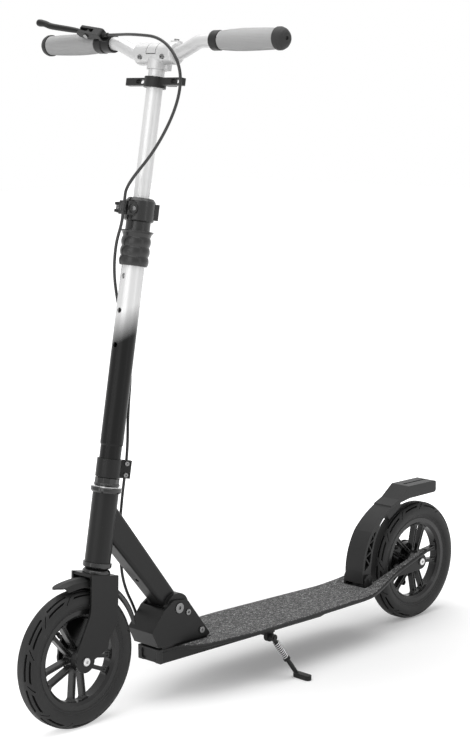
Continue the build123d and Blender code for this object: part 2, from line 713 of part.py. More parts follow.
# Lower clamp ring with slit lug and cable eye
lug_dir = (cos(radians(LUG_ANGLE)), sin(radians(LUG_ANGLE)))
LUG_CABLE = (31 * lug_dir[0] + 7.1 * -lug_dir[1], 31 * lug_dir[1] + 7.1 * lug_dir[0])
RING_MID = (RING_LOW + RING_TOP) / 2
ring_bolt_plane = Plane(
    origin=world(28.5 * lug_dir[0], 28.5 * lug_dir[1], RING_MID), x_dir=(-SIN_R, 0, COS_R),
    z_dir=(-lug_dir[1] * COS_R, lug_dir[0], -lug_dir[1] * SIN_R),
)
with BuildPart() as clamp_ring:
    with BuildSketch(STEER.offset(RING_LOW)):
        Circle(RING_R)
        with Locations(Location((0, 0, 0), (0, 0, LUG_ANGLE))):
            with Locations((LUG_END / 2, 0)):
                Rectangle(LUG_END, 2 * LUG_HALF)
    extrude(amount=RING_TOP - RING_LOW)
    with BuildSketch(STEER.offset(RING_MID - 4)):
        with Locations(LUG_CABLE):
            Circle(4.6)
    extrude(amount=8)
    with BuildSketch(STEER.offset(RING_LOW)):
        Circle(NECK_R + FIT)
        with Locations(LUG_CABLE):
            Circle(CABLE_R + 0.1)
        with Locations(Location((0, 0, 0), (0, 0, LUG_ANGLE))):
            with Locations((LUG_END / 2, 0)):
                Rectangle(LUG_END + 2, 2.0)
    extrude(amount=RING_TOP - RING_LOW, mode=Mode.SUBTRACT)
    with BuildSketch(ring_bolt_plane):
        with Locations((-9.5, 0), (9.5, 0)):
            Circle(2.0 + FIT)
    extrude(amount=LUG_HALF + 1, both=True, mode=Mode.SUBTRACT)
save(clamp_ring.part, "clamp_ring")

with BuildPart() as ring_bolts:
    with BuildSketch(ring_bolt_plane):
        with Locations((-9.5, 0), (9.5, 0)):
            Circle(2.0)
    extrude(amount=LUG_HALF, both=True)
    with BuildSketch(ring_bolt_plane.offset(-LUG_HALF)):
        with Locations((-9.5, 0), (9.5, 0)):
            Circle(3.6)
            RegularPolygon(1.7, 6, mode=Mode.SUBTRACT)
    extrude(amount=-3.2)
save(ring_bolts.part, "ring_bolts")

# Front mudguard: ridged arch with a beak, a tapered tail and the post under the crown
GUARD_FRONT = 19.3
GUARD_SWEEP = 96.0
GUARD_R = WHEEL_R + 19.0
GUARD_HALF = TYRE_W / 2


def guard_x(angle):
    """Forward place of a point on the mudguard's crest, by its angle from the top."""
    return FRONT_X + GUARD_R * sin(radians(angle))


g0 = radians(GUARD_FRONT)
guard_plane = Plane(origin=(FRONT_X, 0, WHEEL_R), x_dir=(sin(g0), 0, cos(g0)), z_dir=(-cos(g0), 0, sin(g0)))
with BuildPart() as front_mudguard:
    with BuildSketch(guard_plane):
        with BuildLine():
            Polyline(
                (GUARD_R - 13, 17.6), (GUARD_R - 4, 14.2), (GUARD_R, 5), (GUARD_R, -5), (GUARD_R - 4, -14.2),
                (GUARD_R - 13, -17.6), (GUARD_R - 13, -15.4), (GUARD_R - 5.6, -12.6), (GUARD_R - 2.2, -4.2),
                (GUARD_R - 2.2, 4.2), (GUARD_R - 5.6, 12.6), (GUARD_R - 13, 15.4), close=True,
            )
        make_face()
    revolve(axis=Axis((FRONT_X, 0, WHEEL_R), (0, -1, 0)), revolution_arc=GUARD_SWEEP)
    with BuildSketch(Plane.XY):
        with BuildLine():
            edge = FilletPolyline(
                (guard_x(19.2), 0), (guard_x(18.9), 3), (guard_x(14.5), 11), (guard_x(8), GUARD_HALF),
                (guard_x(-28), GUARD_HALF), (guard_x(-77), 3.5), (guard_x(-77), 0), radius=[2, 20, 20, 60, 3],
            )
            Line(edge @ 1, edge @ 0)
        make_face()
        mirror(about=Plane.XZ)
    extrude(amount=3 * WHEEL_R, mode=Mode.INTERSECT)
    with BuildSketch(STEER.offset(CROWN_TOP - CROWN_T)):
        Circle(8)
    extrude(amount=-(CROWN_TOP - CROWN_T - AXLE_K - sqrt(GUARD_R ** 2 - FORK_OFFSET ** 2) + 1.6))
    with BuildSketch(STEER.offset(CROWN_TOP - CROWN_T)):
        Circle(2.9)
    extrude(amount=CROWN_T)
save(front_mudguard.part, "front_mudguard")

# T-bar: sliding tube with a guide ring at its foot, stem and riser bar
with BuildPart() as upper_tube:
    add(steer_turned([
        (UPPER_BORE, UPPER_LOW), (COLUMN_BORE - 0.1, UPPER_LOW), (COLUMN_BORE - 0.1, UPPER_LOW + 22),
        (UPPER_R, UPPER_LOW + 24), (UPPER_R, BAR_K - BAR_R - 1.2), (UPPER_BORE, BAR_K - BAR_R - 1.2),
    ]))
    with BuildSketch(Plane(origin=world(0, 0, HOLE_TOP_K), x_dir=(0, 1, 0), z_dir=STEER.x_dir)):
        Circle(BUTTON_R + FIT)
    extrude(amount=COLUMN_R, mode=Mode.SUBTRACT)
save(upper_tube.part, "upper_tube")

BUTTON_OUT = COLUMN_BORE - 0.35
button_plane = Plane(origin=world(0, 0, HOLE_TOP_K), x_dir=(0, 1, 0), z_dir=STEER.x_dir)
with BuildPart() as height_button:
    with BuildSketch(button_plane.offset(UPPER_BORE - 4)):
        Circle(BUTTON_R)
    extrude(amount=BUTTON_OUT - UPPER_BORE + 4)
    rings = height_button.edges().filter_by(GeomType.CIRCLE)
    chamfer(rings.sort_by_distance(world(30, 0, HOLE_TOP_K))[0], 0.8)
    with BuildSketch(button_plane.offset(UPPER_BORE - 4)):
        Rectangle(9, 11)
    extrude(amount=1.5)
save(height_button.part, "height_button")

bar_mid = Plane(origin=world(0, 0, BAR_K), x_dir=STEER.x_dir, z_dir=(0, 1, 0))
BOLT_SPOTS = [(-26, -8), (26, -8)]
BOLT_SINK = 1.4
SOCKET_LOW = BAR_K - STEM_R - 8.0
CAP_HALF = 11.0
CAP_SPLIT = 3.0
SLIT = 1.4
BOSS_SPOT = (-7, 31)
BOSS_TOP = BAR_K + STEM_R + 2.7
with BuildPart() as stem:
    with BuildSketch(bar_mid):
        Circle(STEM_R)
    extrude(amount=STEM_HALF, both=True)
    fillet(stem.edges().filter_by(GeomType.CIRCLE), 4.0)
    with BuildSketch(STEER.offset(SOCKET_LOW)):
        Circle(UPPER_R + 3.4)
        with Locations((-6, 16)):
            RectangleRounded(13, 14, 3)
    extrude(amount=STEM_R)
    with BuildSketch(STEER.offset(BAR_K + 10)):
        with Locations(BOSS_SPOT):
            RectangleRounded(13, 18, 3)
    extrude(amount=BOSS_TOP - BAR_K - 10)
    with BuildSketch(bar_mid):
        Circle(BAR_R + FIT)
    extrude(amount=STEM_HALF, both=True, mode=Mode.SUBTRACT)
    with BuildSketch(STEER.offset(SOCKET_LOW)):
        Circle(UPPER_R + FIT)
    extrude(amount=BAR_K - BAR_R - 1.0 - SOCKET_LOW, mode=Mode.SUBTRACT)
    for y in (-CAP_HALF, CAP_HALF):
        with BuildSketch(bar_mid.offset(y)):
            with Locations((STEM_R / 2 + 3, CAP_SPLIT - STEM_R / 2 - 3)):
                Rectangle(STEM_R + 6, STEM_R + 6)
        extrude(amount=SLIT / 2, both=True, mode=Mode.SUBTRACT)
    with BuildSketch(SIDE):
        with Locations((STEM_R, BAR_K - CAP_SPLIT)):
            Rectangle(2 * STEM_R - 8, SLIT)
    extrude(amount=CAP_HALF, both=True, mode=Mode.SUBTRACT)
    for y, k in BOLT_SPOTS:
        seat_n = sqrt(STEM_R ** 2 - k ** 2) - BOLT_SINK
        with BuildSketch(Plane(origin=world(seat_n, y, BAR_K + k), x_dir=(0, 1, 0), z_dir=STEER.x_dir)):
            Circle(4.1)
        extrude(amount=9, mode=Mode.SUBTRACT)
save(stem.part, "stem")

with BuildPart() as stem_bolts:
    for y, k in BOLT_SPOTS:
        seat_n = sqrt(STEM_R ** 2 - k ** 2) - BOLT_SINK
        with BuildSketch(Plane(origin=world(seat_n, y, BAR_K + k), x_dir=(0, 1, 0), z_dir=STEER.x_dir)):
            Circle(3.8)
            RegularPolygon(1.9, 6, mode=Mode.SUBTRACT)
        extrude(amount=4.0)
    with BuildSketch(STEER.offset(BOSS_TOP)):
        with Locations(BOSS_SPOT):
            Circle(4.2)
            RegularPolygon(2.2, 6, mode=Mode.SUBTRACT)
    extrude(amount=3.4)
save(stem_bolts.part, "stem_bolts")

bar_points = [
    world(BAR_SWEEP, -GRIP_END, BAR_K + BAR_RISE), world(BAR_SWEEP, -BEND_OUT, BAR_K + BAR_RISE),
    world(0, -BEND_IN, BAR_K), world(0, BEND_IN, BAR_K), world(BAR_SWEEP, BEND_OUT, BAR_K + BAR_RISE),
    world(BAR_SWEEP, GRIP_END, BAR_K + BAR_RISE),
]
with BuildPart() as handlebar:
    with BuildLine() as bar_path:
        FilletPolyline(*bar_points, radius=[BEND_BAR_R] * 4)
    with BuildSketch(Plane(origin=bar_points[0], z_dir=(0, 1, 0))):
        Circle(BAR_R)
        Circle(BAR_R - BAR_WALL, mode=Mode.SUBTRACT)
    sweep()
save(handlebar.part, "handlebar")

grip_mid = Plane(origin=world(BAR_SWEEP, 0, BAR_K + BAR_RISE), x_dir=STEER.x_dir, z_dir=(0, 0, 1))
GRIP_AXIS = Axis(grip_mid.origin, (0, 1, 0))


def grip_turned(outline):
    plane = Plane(origin=grip_mid.origin, x_dir=STEER.x_dir, z_dir=STEER.z_dir)
    return turned(plane, GRIP_AXIS, outline)


for name, way in (("left_grip", 1), ("right_grip", -1)):
    span = GRIP_END - GRIP_IN
    save(grip_turned([
        (BAR_R + FIT, way * GRIP_IN), (GRIP_R - 2.6, way * GRIP_IN), (GRIP_R - 1.6, way * (GRIP_IN + 2)),
        (GRIP_R - 0.6, way * (GRIP_IN + 0.22 * span)), (GRIP_R, way * (GRIP_IN + 0.42 * span)),
        (GRIP_R - 0.6, way * (GRIP_IN + 0.62 * span)), (GRIP_R - 1.4, way * (GRIP_IN + 0.82 * span)),
        (GRIP_R - 0.8, way * GRIP_END), (BAR_R + FIT, way * GRIP_END),
    ]), name)
with BuildPart() as grip_collars:
    for way in (-1, 1):
        add(grip_turned([
            (BAR_R + FIT, way * RING_IN), (14.6, way * RING_IN), (16.0, way * (RING_IN + 1.6)),
            (16.0, way * (GRIP_IN - 3)), (15.2, way * GRIP_IN), (BAR_R + FIT, way * GRIP_IN),
        ]))
save(grip_collars.part, "grip_collars")
with BuildPart() as bar_plugs:
    for way in (-1, 1):
        add(grip_turned([
            (0, way * (GRIP_END - 14)), (BAR_R - BAR_WALL - 0.1, way * (GRIP_END - 14)),
            (BAR_R - BAR_WALL - 0.1, way * GRIP_END), (GRIP_R + 0.4, way * GRIP_END),
            (GRIP_R + 0.4, way * (GRIP_END + 5)), (GRIP_R - 1.4, way * (GRIP_END + 0.58 * PLUG_T)),
            (GRIP_R - 4.6, way * (GRIP_END + 0.82 * PLUG_T)), (9, way * (GRIP_END + 0.96 * PLUG_T)),
            (3.4, way * (GRIP_END + PLUG_T)), (2.6, way * (GRIP_END + PLUG_T - 3)),
            (0, way * (GRIP_END + PLUG_T - 3)),
        ]))
save(bar_plugs.part, "bar_plugs")

# Strap collar: split ring with two thinner slotted arms
STRAP_ARM = 66.0
STRAP_WALL = 5.0
STRAP_ARM_T = 12.0
STRAP_ARM_LOW = STRAP_LOW + 4.0
STRAP_ARM_H = STRAP_H - 5.0
with BuildPart() as strap_collar:
    with BuildSketch(STEER.offset(STRAP_LOW)):
        Circle(UPPER_R + STRAP_WALL)
    extrude(amount=STRAP_H)
    with BuildSketch(STEER.offset(STRAP_ARM_LOW)):
        RectangleRounded(STRAP_ARM_T, 2 * STRAP_ARM, 3)
        with Locations((-4, 30)):
            RectangleRounded(STRAP_ARM_T + 6, 20, 3)
    extrude(amount=STRAP_ARM_H)
    with BuildSketch(STEER.offset(STRAP_LOW)):
        Circle(UPPER_R + FIT)
    extrude(amount=STRAP_H, mode=Mode.SUBTRACT)
    slot_mid = world(0, 0, STRAP_ARM_LOW + STRAP_ARM_H / 2)
    with BuildSketch(Plane(origin=slot_mid, x_dir=(0, 1, 0), z_dir=STEER.x_dir)):
        with Locations((-30, 0), (52, 0)):
            SlotOverall(20, STRAP_ARM_H - 5)
    extrude(amount=STRAP_ARM_T, both=True, mode=Mode.SUBTRACT)
save(strap_collar.part, "strap_collar")

# Brake lever: clamp bracket, blade, pin and barrel adjuster on the right side, in a plane tilted up from
# straight ahead; the first coordinate runs out from the bar, the second along it
LEVER_TILT = 35.0
lo = (cos(radians(LEVER_TILT)), sin(radians(LEVER_TILT)))
lever_x = tuple(a * lo[0] + b * lo[1] for a, b in zip(STEER.x_dir, STEER.z_dir))
lever_plane = Plane(origin=grip_mid.origin, x_dir=lever_x, z_dir=Vector(*lever_x).cross(Vector(0, 1, 0)))
bar_end = Plane(origin=grip_mid.origin, x_dir=STEER.x_dir, z_dir=(0, -1, 0))
BRACKET_OUT = -RING_IN + 1.5
BRACKET_IN = BRACKET_OUT + 18.0
BRACKET_R = 15.0
BRACKET_HALF = 8.0
BARREL_O = 19.5
BARREL_Y = -RING_IN + 8.0
PIN_O = 26.5
PIN_Y = -RING_IN - 23.0
LEVER_BOLT_R = 2.5
BLADE_ROOT_HALF = 3.2
BLADE_HALF = 6.5
with BuildPart() as lever_bracket:
    with BuildSketch(lever_plane):
        with BuildLine():
            FilletPolyline(
                (8, BRACKET_OUT), (8, BRACKET_IN), (14, BRACKET_IN - 2), (14, BARREL_Y), (27, BARREL_Y),
                (36.5, PIN_Y - 14), (34, PIN_Y - 20), (24, PIN_Y - 16), (20.5, PIN_Y), (18.5, BRACKET_OUT),
                radius=[0, 0, 2, 2, 5, 4, 4, 4, 8, 0], close=True,
            )
        make_face()
    extrude(amount=BRACKET_HALF, both=True)
    with BuildSketch(bar_end.offset(-BRACKET_IN)):
        Circle(BRACKET_R)
    extrude(amount=BRACKET_IN - BRACKET_OUT)
    with BuildSketch(bar_end.offset(-BRACKET_IN - 10)):
        Circle(BAR_R + FIT)
    extrude(amount=BRACKET_IN - BRACKET_OUT + 20, mode=Mode.SUBTRACT)
    with BuildSketch(lever_plane):
        with Locations((30, PIN_Y - 8)):
            Rectangle(30, 44)
    extrude(amount=BLADE_ROOT_HALF + 0.2, both=True, mode=Mode.SUBTRACT)
    with BuildSketch(lever_plane):
        with Locations((PIN_O, PIN_Y)):
            Circle(LEVER_BOLT_R + FIT)
    extrude(amount=BRACKET_HALF + 1, both=True, mode=Mode.SUBTRACT)
    with BuildSketch(bar_end.offset(-BRACKET_IN - 1)):
        with Locations((-BRACKET_R, 0)):
            Rectangle(2 * (BRACKET_R - BAR_R) + 2, 1.8)
    extrude(amount=BRACKET_IN - BRACKET_OUT + 2, mode=Mode.SUBTRACT)
    with BuildSketch(lever_plane.offset(BRACKET_HALF)):
        with BuildLine():
            Polyline(
                (20, BARREL_Y - 5), (25, BARREL_Y - 5), (28.5, PIN_Y + 7), (22.5, PIN_Y + 7), close=True,
            )
        make_face()
    extrude(amount=-3, mode=Mode.SUBTRACT)
save(lever_bracket.part, "lever_bracket")

with BuildPart() as lever_bolts:
    with BuildSketch(lever_plane):
        with Locations((PIN_O, PIN_Y)):
            Circle(LEVER_BOLT_R)
    extrude(amount=BRACKET_HALF, both=True)
    for way in (-1, 1):
        with BuildSketch(lever_plane.offset(way * BRACKET_HALF)):
            with Locations((PIN_O, PIN_Y)):
                Circle(LEVER_BOLT_R + 1.7)
        extrude(amount=way * 2)
save(lever_bolts.part, "lever_bolts")

BLADE_TIP = [(61, -GRIP_END + 18), (60, -GRIP_END + 4), (52, -GRIP_END - 1), (45, -GRIP_END + 4)]
WIDE_Y = PIN_Y - 25.0
with BuildPart() as brake_blade:
    with BuildSketch(lever_plane):
        with BuildLine():
            FilletPolyline(
                (21.5, PIN_Y + 8), (31, PIN_Y + 8), (38, WIDE_Y + 8), (46, WIDE_Y - 25), *BLADE_TIP,
                (33.5, WIDE_Y - 40), (28, WIDE_Y), (22, PIN_Y - 6),
                radius=[3, 4, 40, 90, 6, 4, 4, 6, 90, 60, 6], close=True,
            )
        make_face()
    extrude(amount=BLADE_ROOT_HALF, both=True)
    with BuildSketch(lever_plane):
        with BuildLine():
            FilletPolyline(
                (40, WIDE_Y), (46, WIDE_Y - 25), *BLADE_TIP, (33.5, WIDE_Y - 40), (28, WIDE_Y),
                radius=[2, 90, 6, 4, 4, 6, 90, 2], close=True,
            )
        make_face()
    extrude(amount=BLADE_HALF, both=True)
    with BuildSketch(lever_plane):
        with Locations((PIN_O, PIN_Y)):
            Circle(LEVER_BOLT_R + FIT)
    extrude(amount=BLADE_HALF + 1, both=True, mode=Mode.SUBTRACT)
save(brake_blade.part, "brake_blade")

barrel_plane = Plane(
    origin=lever_plane.from_local_coords((BARREL_O, BARREL_Y, 0)), x_dir=lever_plane.x_dir, z_dir=(0, 1, 0),
)
with BuildPart() as barrel_adjuster:
    with BuildSketch(barrel_plane):
        Circle(4.6)
        Circle(WIRE_R + 0.3, mode=Mode.SUBTRACT)
    extrude(amount=5)
    with BuildSketch(barrel_plane.offset(5)):
        Circle(3.8)
        Circle(WIRE_R + 0.3, mode=Mode.SUBTRACT)
    extrude(amount=7)
    with BuildSketch(barrel_plane):
        with PolarLocations(4.8, 8):
            Circle(0.7)
    extrude(amount=5, mode=Mode.SUBTRACT)
save(barrel_adjuster.part, "barrel_adjuster")


# Deck plate and grip tape are cut from the same plan
def deck_layer(lift, thick, inset, nose_x, tail_x):
    """Sheet that follows the deck: flat run, bend and two rising tail arms."""
    with BuildPart() as layer:
        with BuildSketch(Plane.XZ):
            with BuildLine():
                FilletPolyline(
                    (nose_x, deck_z(nose_x) + lift), (BEND_X, deck_z(BEND_X) + lift),
                    (tail_x, arm_z(tail_x) + lift), (tail_x, arm_z(tail_x) + lift - thick),
                    (BEND_X, deck_z(BEND_X) + lift - thick), (nose_x, deck_z(nose_x) + lift - thick),
                    radius=[0, BEND_R - lift, 0, 0, BEND_R - lift + thick, 0], close=True,
                )
            make_face()
        extrude(amount=90, both=True)
        with BuildSketch(Plane.XY):
            with BuildLine():
                edge = FilletPolyline(
                    (nose_x, CORE_HALF - inset), (NOSE_X - 26, CORE_HALF + 1.5 - inset),
                    (NOSE_X - 70, SHOULDER_HALF - inset), (NOSE_X - 192, DECK_HALF - inset),
                    (BEND_X + 5, TAIL_HALF - inset), (BEND_X - 90, ARM_OUT + 3 - inset),
                    (tail_x, ARM_OUT - inset),
                    radius=[24, 45, 500, 120, 160],
                )
                Polyline(
                    edge @ 1, (tail_x, SLOT_HALF + inset), (SLOT_X + inset, SLOT_HALF + inset),
                    (SLOT_X + inset, 0), (nose_x, 0), edge @ 0,
                )
            make_face()
            mirror(about=Plane.XZ)
        extrude(amount=200, mode=Mode.INTERSECT)
        tail_corners = layer.edges().filter_by(Axis.Z).filter_by(lambda e: e.center().X < tail_x + 1)
        fillet(tail_corners, ARM_ROUND - inset)
    return layer.part


EAR_X0 = HINGE_X - 10
EAR_X1 = HINGE_X + 10
EAR_IN = FENDER_HALF + 1.0
EAR_T = 4.0
EAR_SEAT = 1.1
with BuildPart() as deck_plate:
    add(deck_layer(0, PLATE_T, 0, NOSE_X, ARM_X))
    with BuildSketch(Plane.XY):
        for way in (-1, 1):
            with Locations((HINGE_X, way * (EAR_IN + EAR_T / 2))):
                Rectangle(EAR_X1 - EAR_X0 + 2 * FIT, EAR_T + 2 * FIT)
    extrude(amount=150, mode=Mode.SUBTRACT)
    side_edges = deck_plate.edges().filter_by(GeomType.LINE).filter_by(lambda e: abs(e.center().Y) > 55)
    fillet(side_edges.filter_by(lambda e: e.length > 100), 2)
save(deck_plate.part, "deck_plate")

BLOCK_FRONT = NOSE_X + 12.0
BLOCK_REAR = NOSE_X - 111.5
with BuildPart() as grip_tape:
    add(deck_layer(TAPE_T, TAPE_T, 2.6, NOSE_X - 23, ARM_X + 8))
    with BuildSketch(Plane.XY):
        with Locations(((BLOCK_FRONT + BLOCK_REAR) / 2, 0)):
            Rectangle(BLOCK_FRONT - BLOCK_REAR + 3, 2 * BLOCK_HALF + 3)
        with Locations((HINGE_X, 0)):
            Rectangle(EAR_X1 - EAR_X0 + 3, 2 * (EAR_IN + EAR_T) + 3)
    extrude(amount=200, mode=Mode.SUBTRACT)
save(grip_tape.part, "grip_tape")



def beam_low(x):
    """Underside of the box beam, which thins towards its rear end."""
    taper = max(0.0, CORE_END + CORE_TAPER - x) / CORE_TAPER
    return deck_z(x) - CORE_H + taper * (CORE_H - PLATE_T - CORE_TAIL)


with BuildPart() as deck_beam:
    taper_x = CORE_END + CORE_TAPER
    hollow_x = CORE_END + CORE_TAPER / 2
    for inset, stop_x, mode in ((0, CORE_END, Mode.ADD), (CORE_WALL, hollow_x, Mode.SUBTRACT)):
        with BuildSketch(Plane.XZ):
            with BuildLine():
                Polyline(
                    (NOSE_X, deck_z(NOSE_X) - PLATE_T - inset), (stop_x, deck_z(stop_x) - PLATE_T - inset),
                    (stop_x, beam_low(stop_x) + inset), (taper_x, beam_low(taper_x) + inset),
                    (NOSE_X, beam_low(NOSE_X) + inset), close=True,
                )
            make_face()
        extrude(amount=CORE_HALF - inset, both=True, mode=mode)
save(deck_beam.part, "deck_beam")

CAP_LOW = DECK_Z - CORE_H
with BuildPart() as front_cap:
    with BuildSketch(Plane.XZ):
        with BuildLine():
            Polyline(
                (NOSE_X, CAP_LOW), (NOSE_X + CAP_T - 1, CAP_LOW), (NOSE_X + CAP_T, CAP_LOW + 1.5),
                (NOSE_X + CAP_T, DECK_Z - 1), (NOSE_X + CAP_T - 1, DECK_Z), (NOSE_X, DECK_Z), close=True,
            )
        make_face()
    extrude(amount=CORE_HALF + 0.5, both=True)
    with BuildSketch(Plane.XZ):
        with Locations((NOSE_X - 5, CAP_LOW + (CORE_H - PLATE_T) / 2)):
            Rectangle(10.2, CORE_H - PLATE_T - 2 * CORE_WALL - 0.6)
    extrude(amount=CORE_HALF - CORE_WALL - 0.2, both=True)
    with BuildSketch(Plane.YZ.offset(NOSE_X + CAP_T)):
        with Locations((0, CAP_LOW + 13)):
            RectangleRounded(2 * CORE_HALF - 16, 17, 3)
        with Locations((0, CAP_LOW)):
            RectangleRounded(30, 9, 3)
    extrude(amount=-2.5, mode=Mode.SUBTRACT)
save(front_cap.part, "front_cap")

# Fold block: two cheeks joined by a faceted nose, a pointed foot and the bolts
FACE_TOP = (NOSE_X - 4, DECK_Z + 68)
FACE_NOSE = (NOSE_X + 26, DECK_Z + 34)
FACE_LOW = (BLOCK_FRONT, DECK_Z + 5.6)
REAR_LOW = (BLOCK_REAR, DECK_Z + 3.5)
REAR_BOLT = (BLOCK_REAR + 22.5, DECK_Z + 16)
REAR_BOLT_R = 3.0
with BuildPart() as fold_block:
    with BuildSketch(Plane.XZ):
        with BuildLine():
            FilletPolyline(
                FACE_LOW, FACE_NOSE, FACE_TOP, (PIVOT_X + 12, PIVOT_Z + 15.5), (PIVOT_X - 19, PIVOT_Z + 11),
                (PIVOT_X - 27, PIVOT_Z), REAR_LOW, radius=[1, 2, 10, 16, 12, 4, 3], close=True,
            )
        make_face()
    extrude(amount=BLOCK_HALF, both=True)
    with BuildSketch(Plane.XZ):
        with BuildLine():
            Polyline(
                (FACE_LOW[0] - 4.5, FACE_LOW[1] + 3.6), (FACE_NOSE[0] - 4.2, FACE_NOSE[1] - 0.6),
                (FACE_TOP[0] - FRONT_WALL * 0.75, FACE_TOP[1] - FRONT_WALL * 0.66),
                (FACE_TOP[0] - 1, PIVOT_Z + 33), (BLOCK_REAR - 10, PIVOT_Z + 33),
                (BLOCK_REAR - 10, DECK_Z + 9.3), close=True,
            )
        make_face()
    extrude(amount=BLOCK_HALF - BLOCK_WALL, both=True, mode=Mode.SUBTRACT)
    with BuildSketch(Plane.XZ):
        with Locations((PIVOT_X, PIVOT_Z)):
            Circle(KNUCKLE_R + GAP)
    extrude(amount=BLOCK_HALF - BLOCK_WALL, both=True, mode=Mode.SUBTRACT)
    with BuildSketch(Plane.XZ):
        with BuildLine():
            Polyline(
                (NOSE_X, deck_z(NOSE_X)), (BLOCK_REAR + 5, deck_z(BLOCK_REAR + 5)),
                (BLOCK_REAR + 5, DECK_Z + 6), (NOSE_X, DECK_Z + 7), close=True,
            )
        make_face()
    extrude(amount=26, both=True)
    with BuildSketch(Plane.XZ):
        with Locations((PIVOT_X, PIVOT_Z)):
            Circle(PIVOT_R + FIT)
        with Locations(REAR_BOLT):
            Circle(REAR_BOLT_R + FIT)
    extrude(amount=BLOCK_HALF + 1, both=True, mode=Mode.SUBTRACT)
    with BuildSketch(Plane.XZ.offset(-BLOCK_HALF)):
        with Locations((PIVOT_X, PIVOT_Z)):
            Circle(9.6)
    extrude(amount=1.6, mode=Mode.SUBTRACT)
    with BuildSketch(Plane.XZ.offset(-BLOCK_HALF)):
        with Locations((LOCK_X, LOCK_Z)):
            Circle(LOCK_R + FIT)
    extrude(amount=BLOCK_WALL, mode=Mode.SUBTRACT)
save(fold_block.part, "fold_block")

with BuildPart() as pivot_bolt:
    add(cross(PIVOT_X, PIVOT_Z, -BLOCK_HALF, BLOCK_HALF - 1.6, PIVOT_R))
    add(cross(PIVOT_X, PIVOT_Z, BLOCK_HALF - 1.6, BLOCK_HALF + 1.2, 8.8))
    add(cross(PIVOT_X, PIVOT_Z, -BLOCK_HALF - 5, -BLOCK_HALF, 8.8))
    with BuildSketch(Plane.XZ.offset(-BLOCK_HALF - 1.2)):
        with Locations((PIVOT_X, PIVOT_Z)):
            RegularPolygon(3.6, 6)
    extrude(amount=2.4, mode=Mode.SUBTRACT)
with BuildPart() as rear_bolt:
    add(cross(*REAR_BOLT, -BLOCK_HALF, BLOCK_HALF, REAR_BOLT_R))
    add(cross(*REAR_BOLT, BLOCK_HALF, BLOCK_HALF + 2.6, REAR_BOLT_R + 2.4))
    add(cross(*REAR_BOLT, -BLOCK_HALF - 4, -BLOCK_HALF, REAR_BOLT_R + 2.4))
    with BuildSketch(Plane.XZ.offset(-BLOCK_HALF - 2.6)):
        with Locations(REAR_BOLT):
            RegularPolygon(2.4, 6)
    extrude(amount=1.8, mode=Mode.SUBTRACT)
save(Compound([pivot_bolt.part, rear_bolt.part]), "block_bolts")

with BuildPart() as fold_button:
    add(cross(LOCK_X, LOCK_Z, BLOCK_HALF - BLOCK_WALL + 0.1, BLOCK_HALF + 1.8, LOCK_R))
    with BuildSketch(Plane.XZ.offset(-BLOCK_HALF - 1.8)):
        with Locations((LOCK_X, LOCK_Z)):
            Circle(2.2)
    extrude(amount=3, mode=Mode.SUBTRACT)
save(fold_button.part, "fold_button")


# Rear dropouts under the tail arms, the right one with the cable stop
def arm_low(x):
    return arm_z(x) - PLATE_T


DROP_X0 = REAR_X + 105.7
CABLE_Y = -28.0
WIRE_Z = CAM_Z - ARM_LEN
dropout_sides = []
for way in (1, -1):
    with BuildPart() as dropout:
        with BuildSketch(Plane.XZ.offset(-way * (FORK_IN + DROP_T / 2))):
            with BuildLine():
                Polyline(
                    (DROP_X0, arm_low(DROP_X0)), (ARM_X + 3, arm_low(ARM_X + 3)), (ARM_X + 3, WHEEL_R),
                    (REAR_X, WHEEL_R - DROP_R), (REAR_X + 34.7, WHEEL_R - DROP_R - 1),
                    (DROP_X0, arm_low(DROP_X0) - 5), close=True,
                )
            make_face()
            with Locations((REAR_X, WHEEL_R)):
                Circle(DROP_R)
            if way < 0:
                with Locations((STOP_X, (WHEEL_R + WIRE_Z) / 2 - 2)):
                    Rectangle(9, WHEEL_R - WIRE_Z - 4)
            with Locations((REAR_X, WHEEL_R)):
                Circle(AXLE_R + FIT, mode=Mode.SUBTRACT)
        extrude(amount=DROP_T / 2, both=True)
        if way < 0:
            with BuildSketch(Plane.YZ.offset(STOP_X - 4.5)):
                with Locations((CABLE_Y, WIRE_Z)):
                    RectangleRounded(10, 10, 3)
            extrude(amount=9)
            with BuildSketch(Plane.YZ.offset(STOP_X - 4.5)):
                with Locations((CABLE_Y, WIRE_Z)):
                    Circle(WIRE_R + 0.3)
            extrude(amount=9, mode=Mode.SUBTRACT)
            with BuildSketch(Plane.YZ.offset(STOP_X - 1.5)):
                with Locations((CABLE_Y, WIRE_Z)):
                    Circle(CABLE_R + 0.1)
            extrude(amount=6, mode=Mode.SUBTRACT)
    dropout_sides.append(dropout.part)
save(Compound(dropout_sides), "dropouts")

with BuildPart() as brake_plate:
    with BuildSketch(Plane.XZ.offset(-PLATE_OUT)):
        with Locations((REAR_X, WHEEL_R)):
            Circle(DRUM_R + 1.5)
            Circle(AXLE_R + FIT, mode=Mode.SUBTRACT)
        with Locations((CAM_X, CAM_Z)):
            Circle(CAM_R + FIT, mode=Mode.SUBTRACT)
    extrude(amount=-(PLATE_IN - PLATE_OUT))
save(brake_plate.part, "brake_plate")

ARM_Y = -FORK_IN - 1.6
with BuildPart() as brake_arm:
    with BuildSketch(Plane.XZ.offset(-ARM_Y)):
        with Locations((CAM_X, CAM_Z)):
            Circle(6.5)
        with Locations((CAM_X, CAM_Z - ARM_LEN)):
            Circle(5.5)
        with Locations((CAM_X, CAM_Z - ARM_LEN / 2)):
            Rectangle(9, ARM_LEN)
    extrude(amount=3)
    add(cross(CAM_X, CAM_Z, ARM_Y - 4.6, PLATE_IN, CAM_R))
    add(cross(CAM_X, CAM_Z - ARM_LEN, ARM_Y - 9, ARM_Y - 3, 3.6))
save(brake_arm.part, "brake_arm")


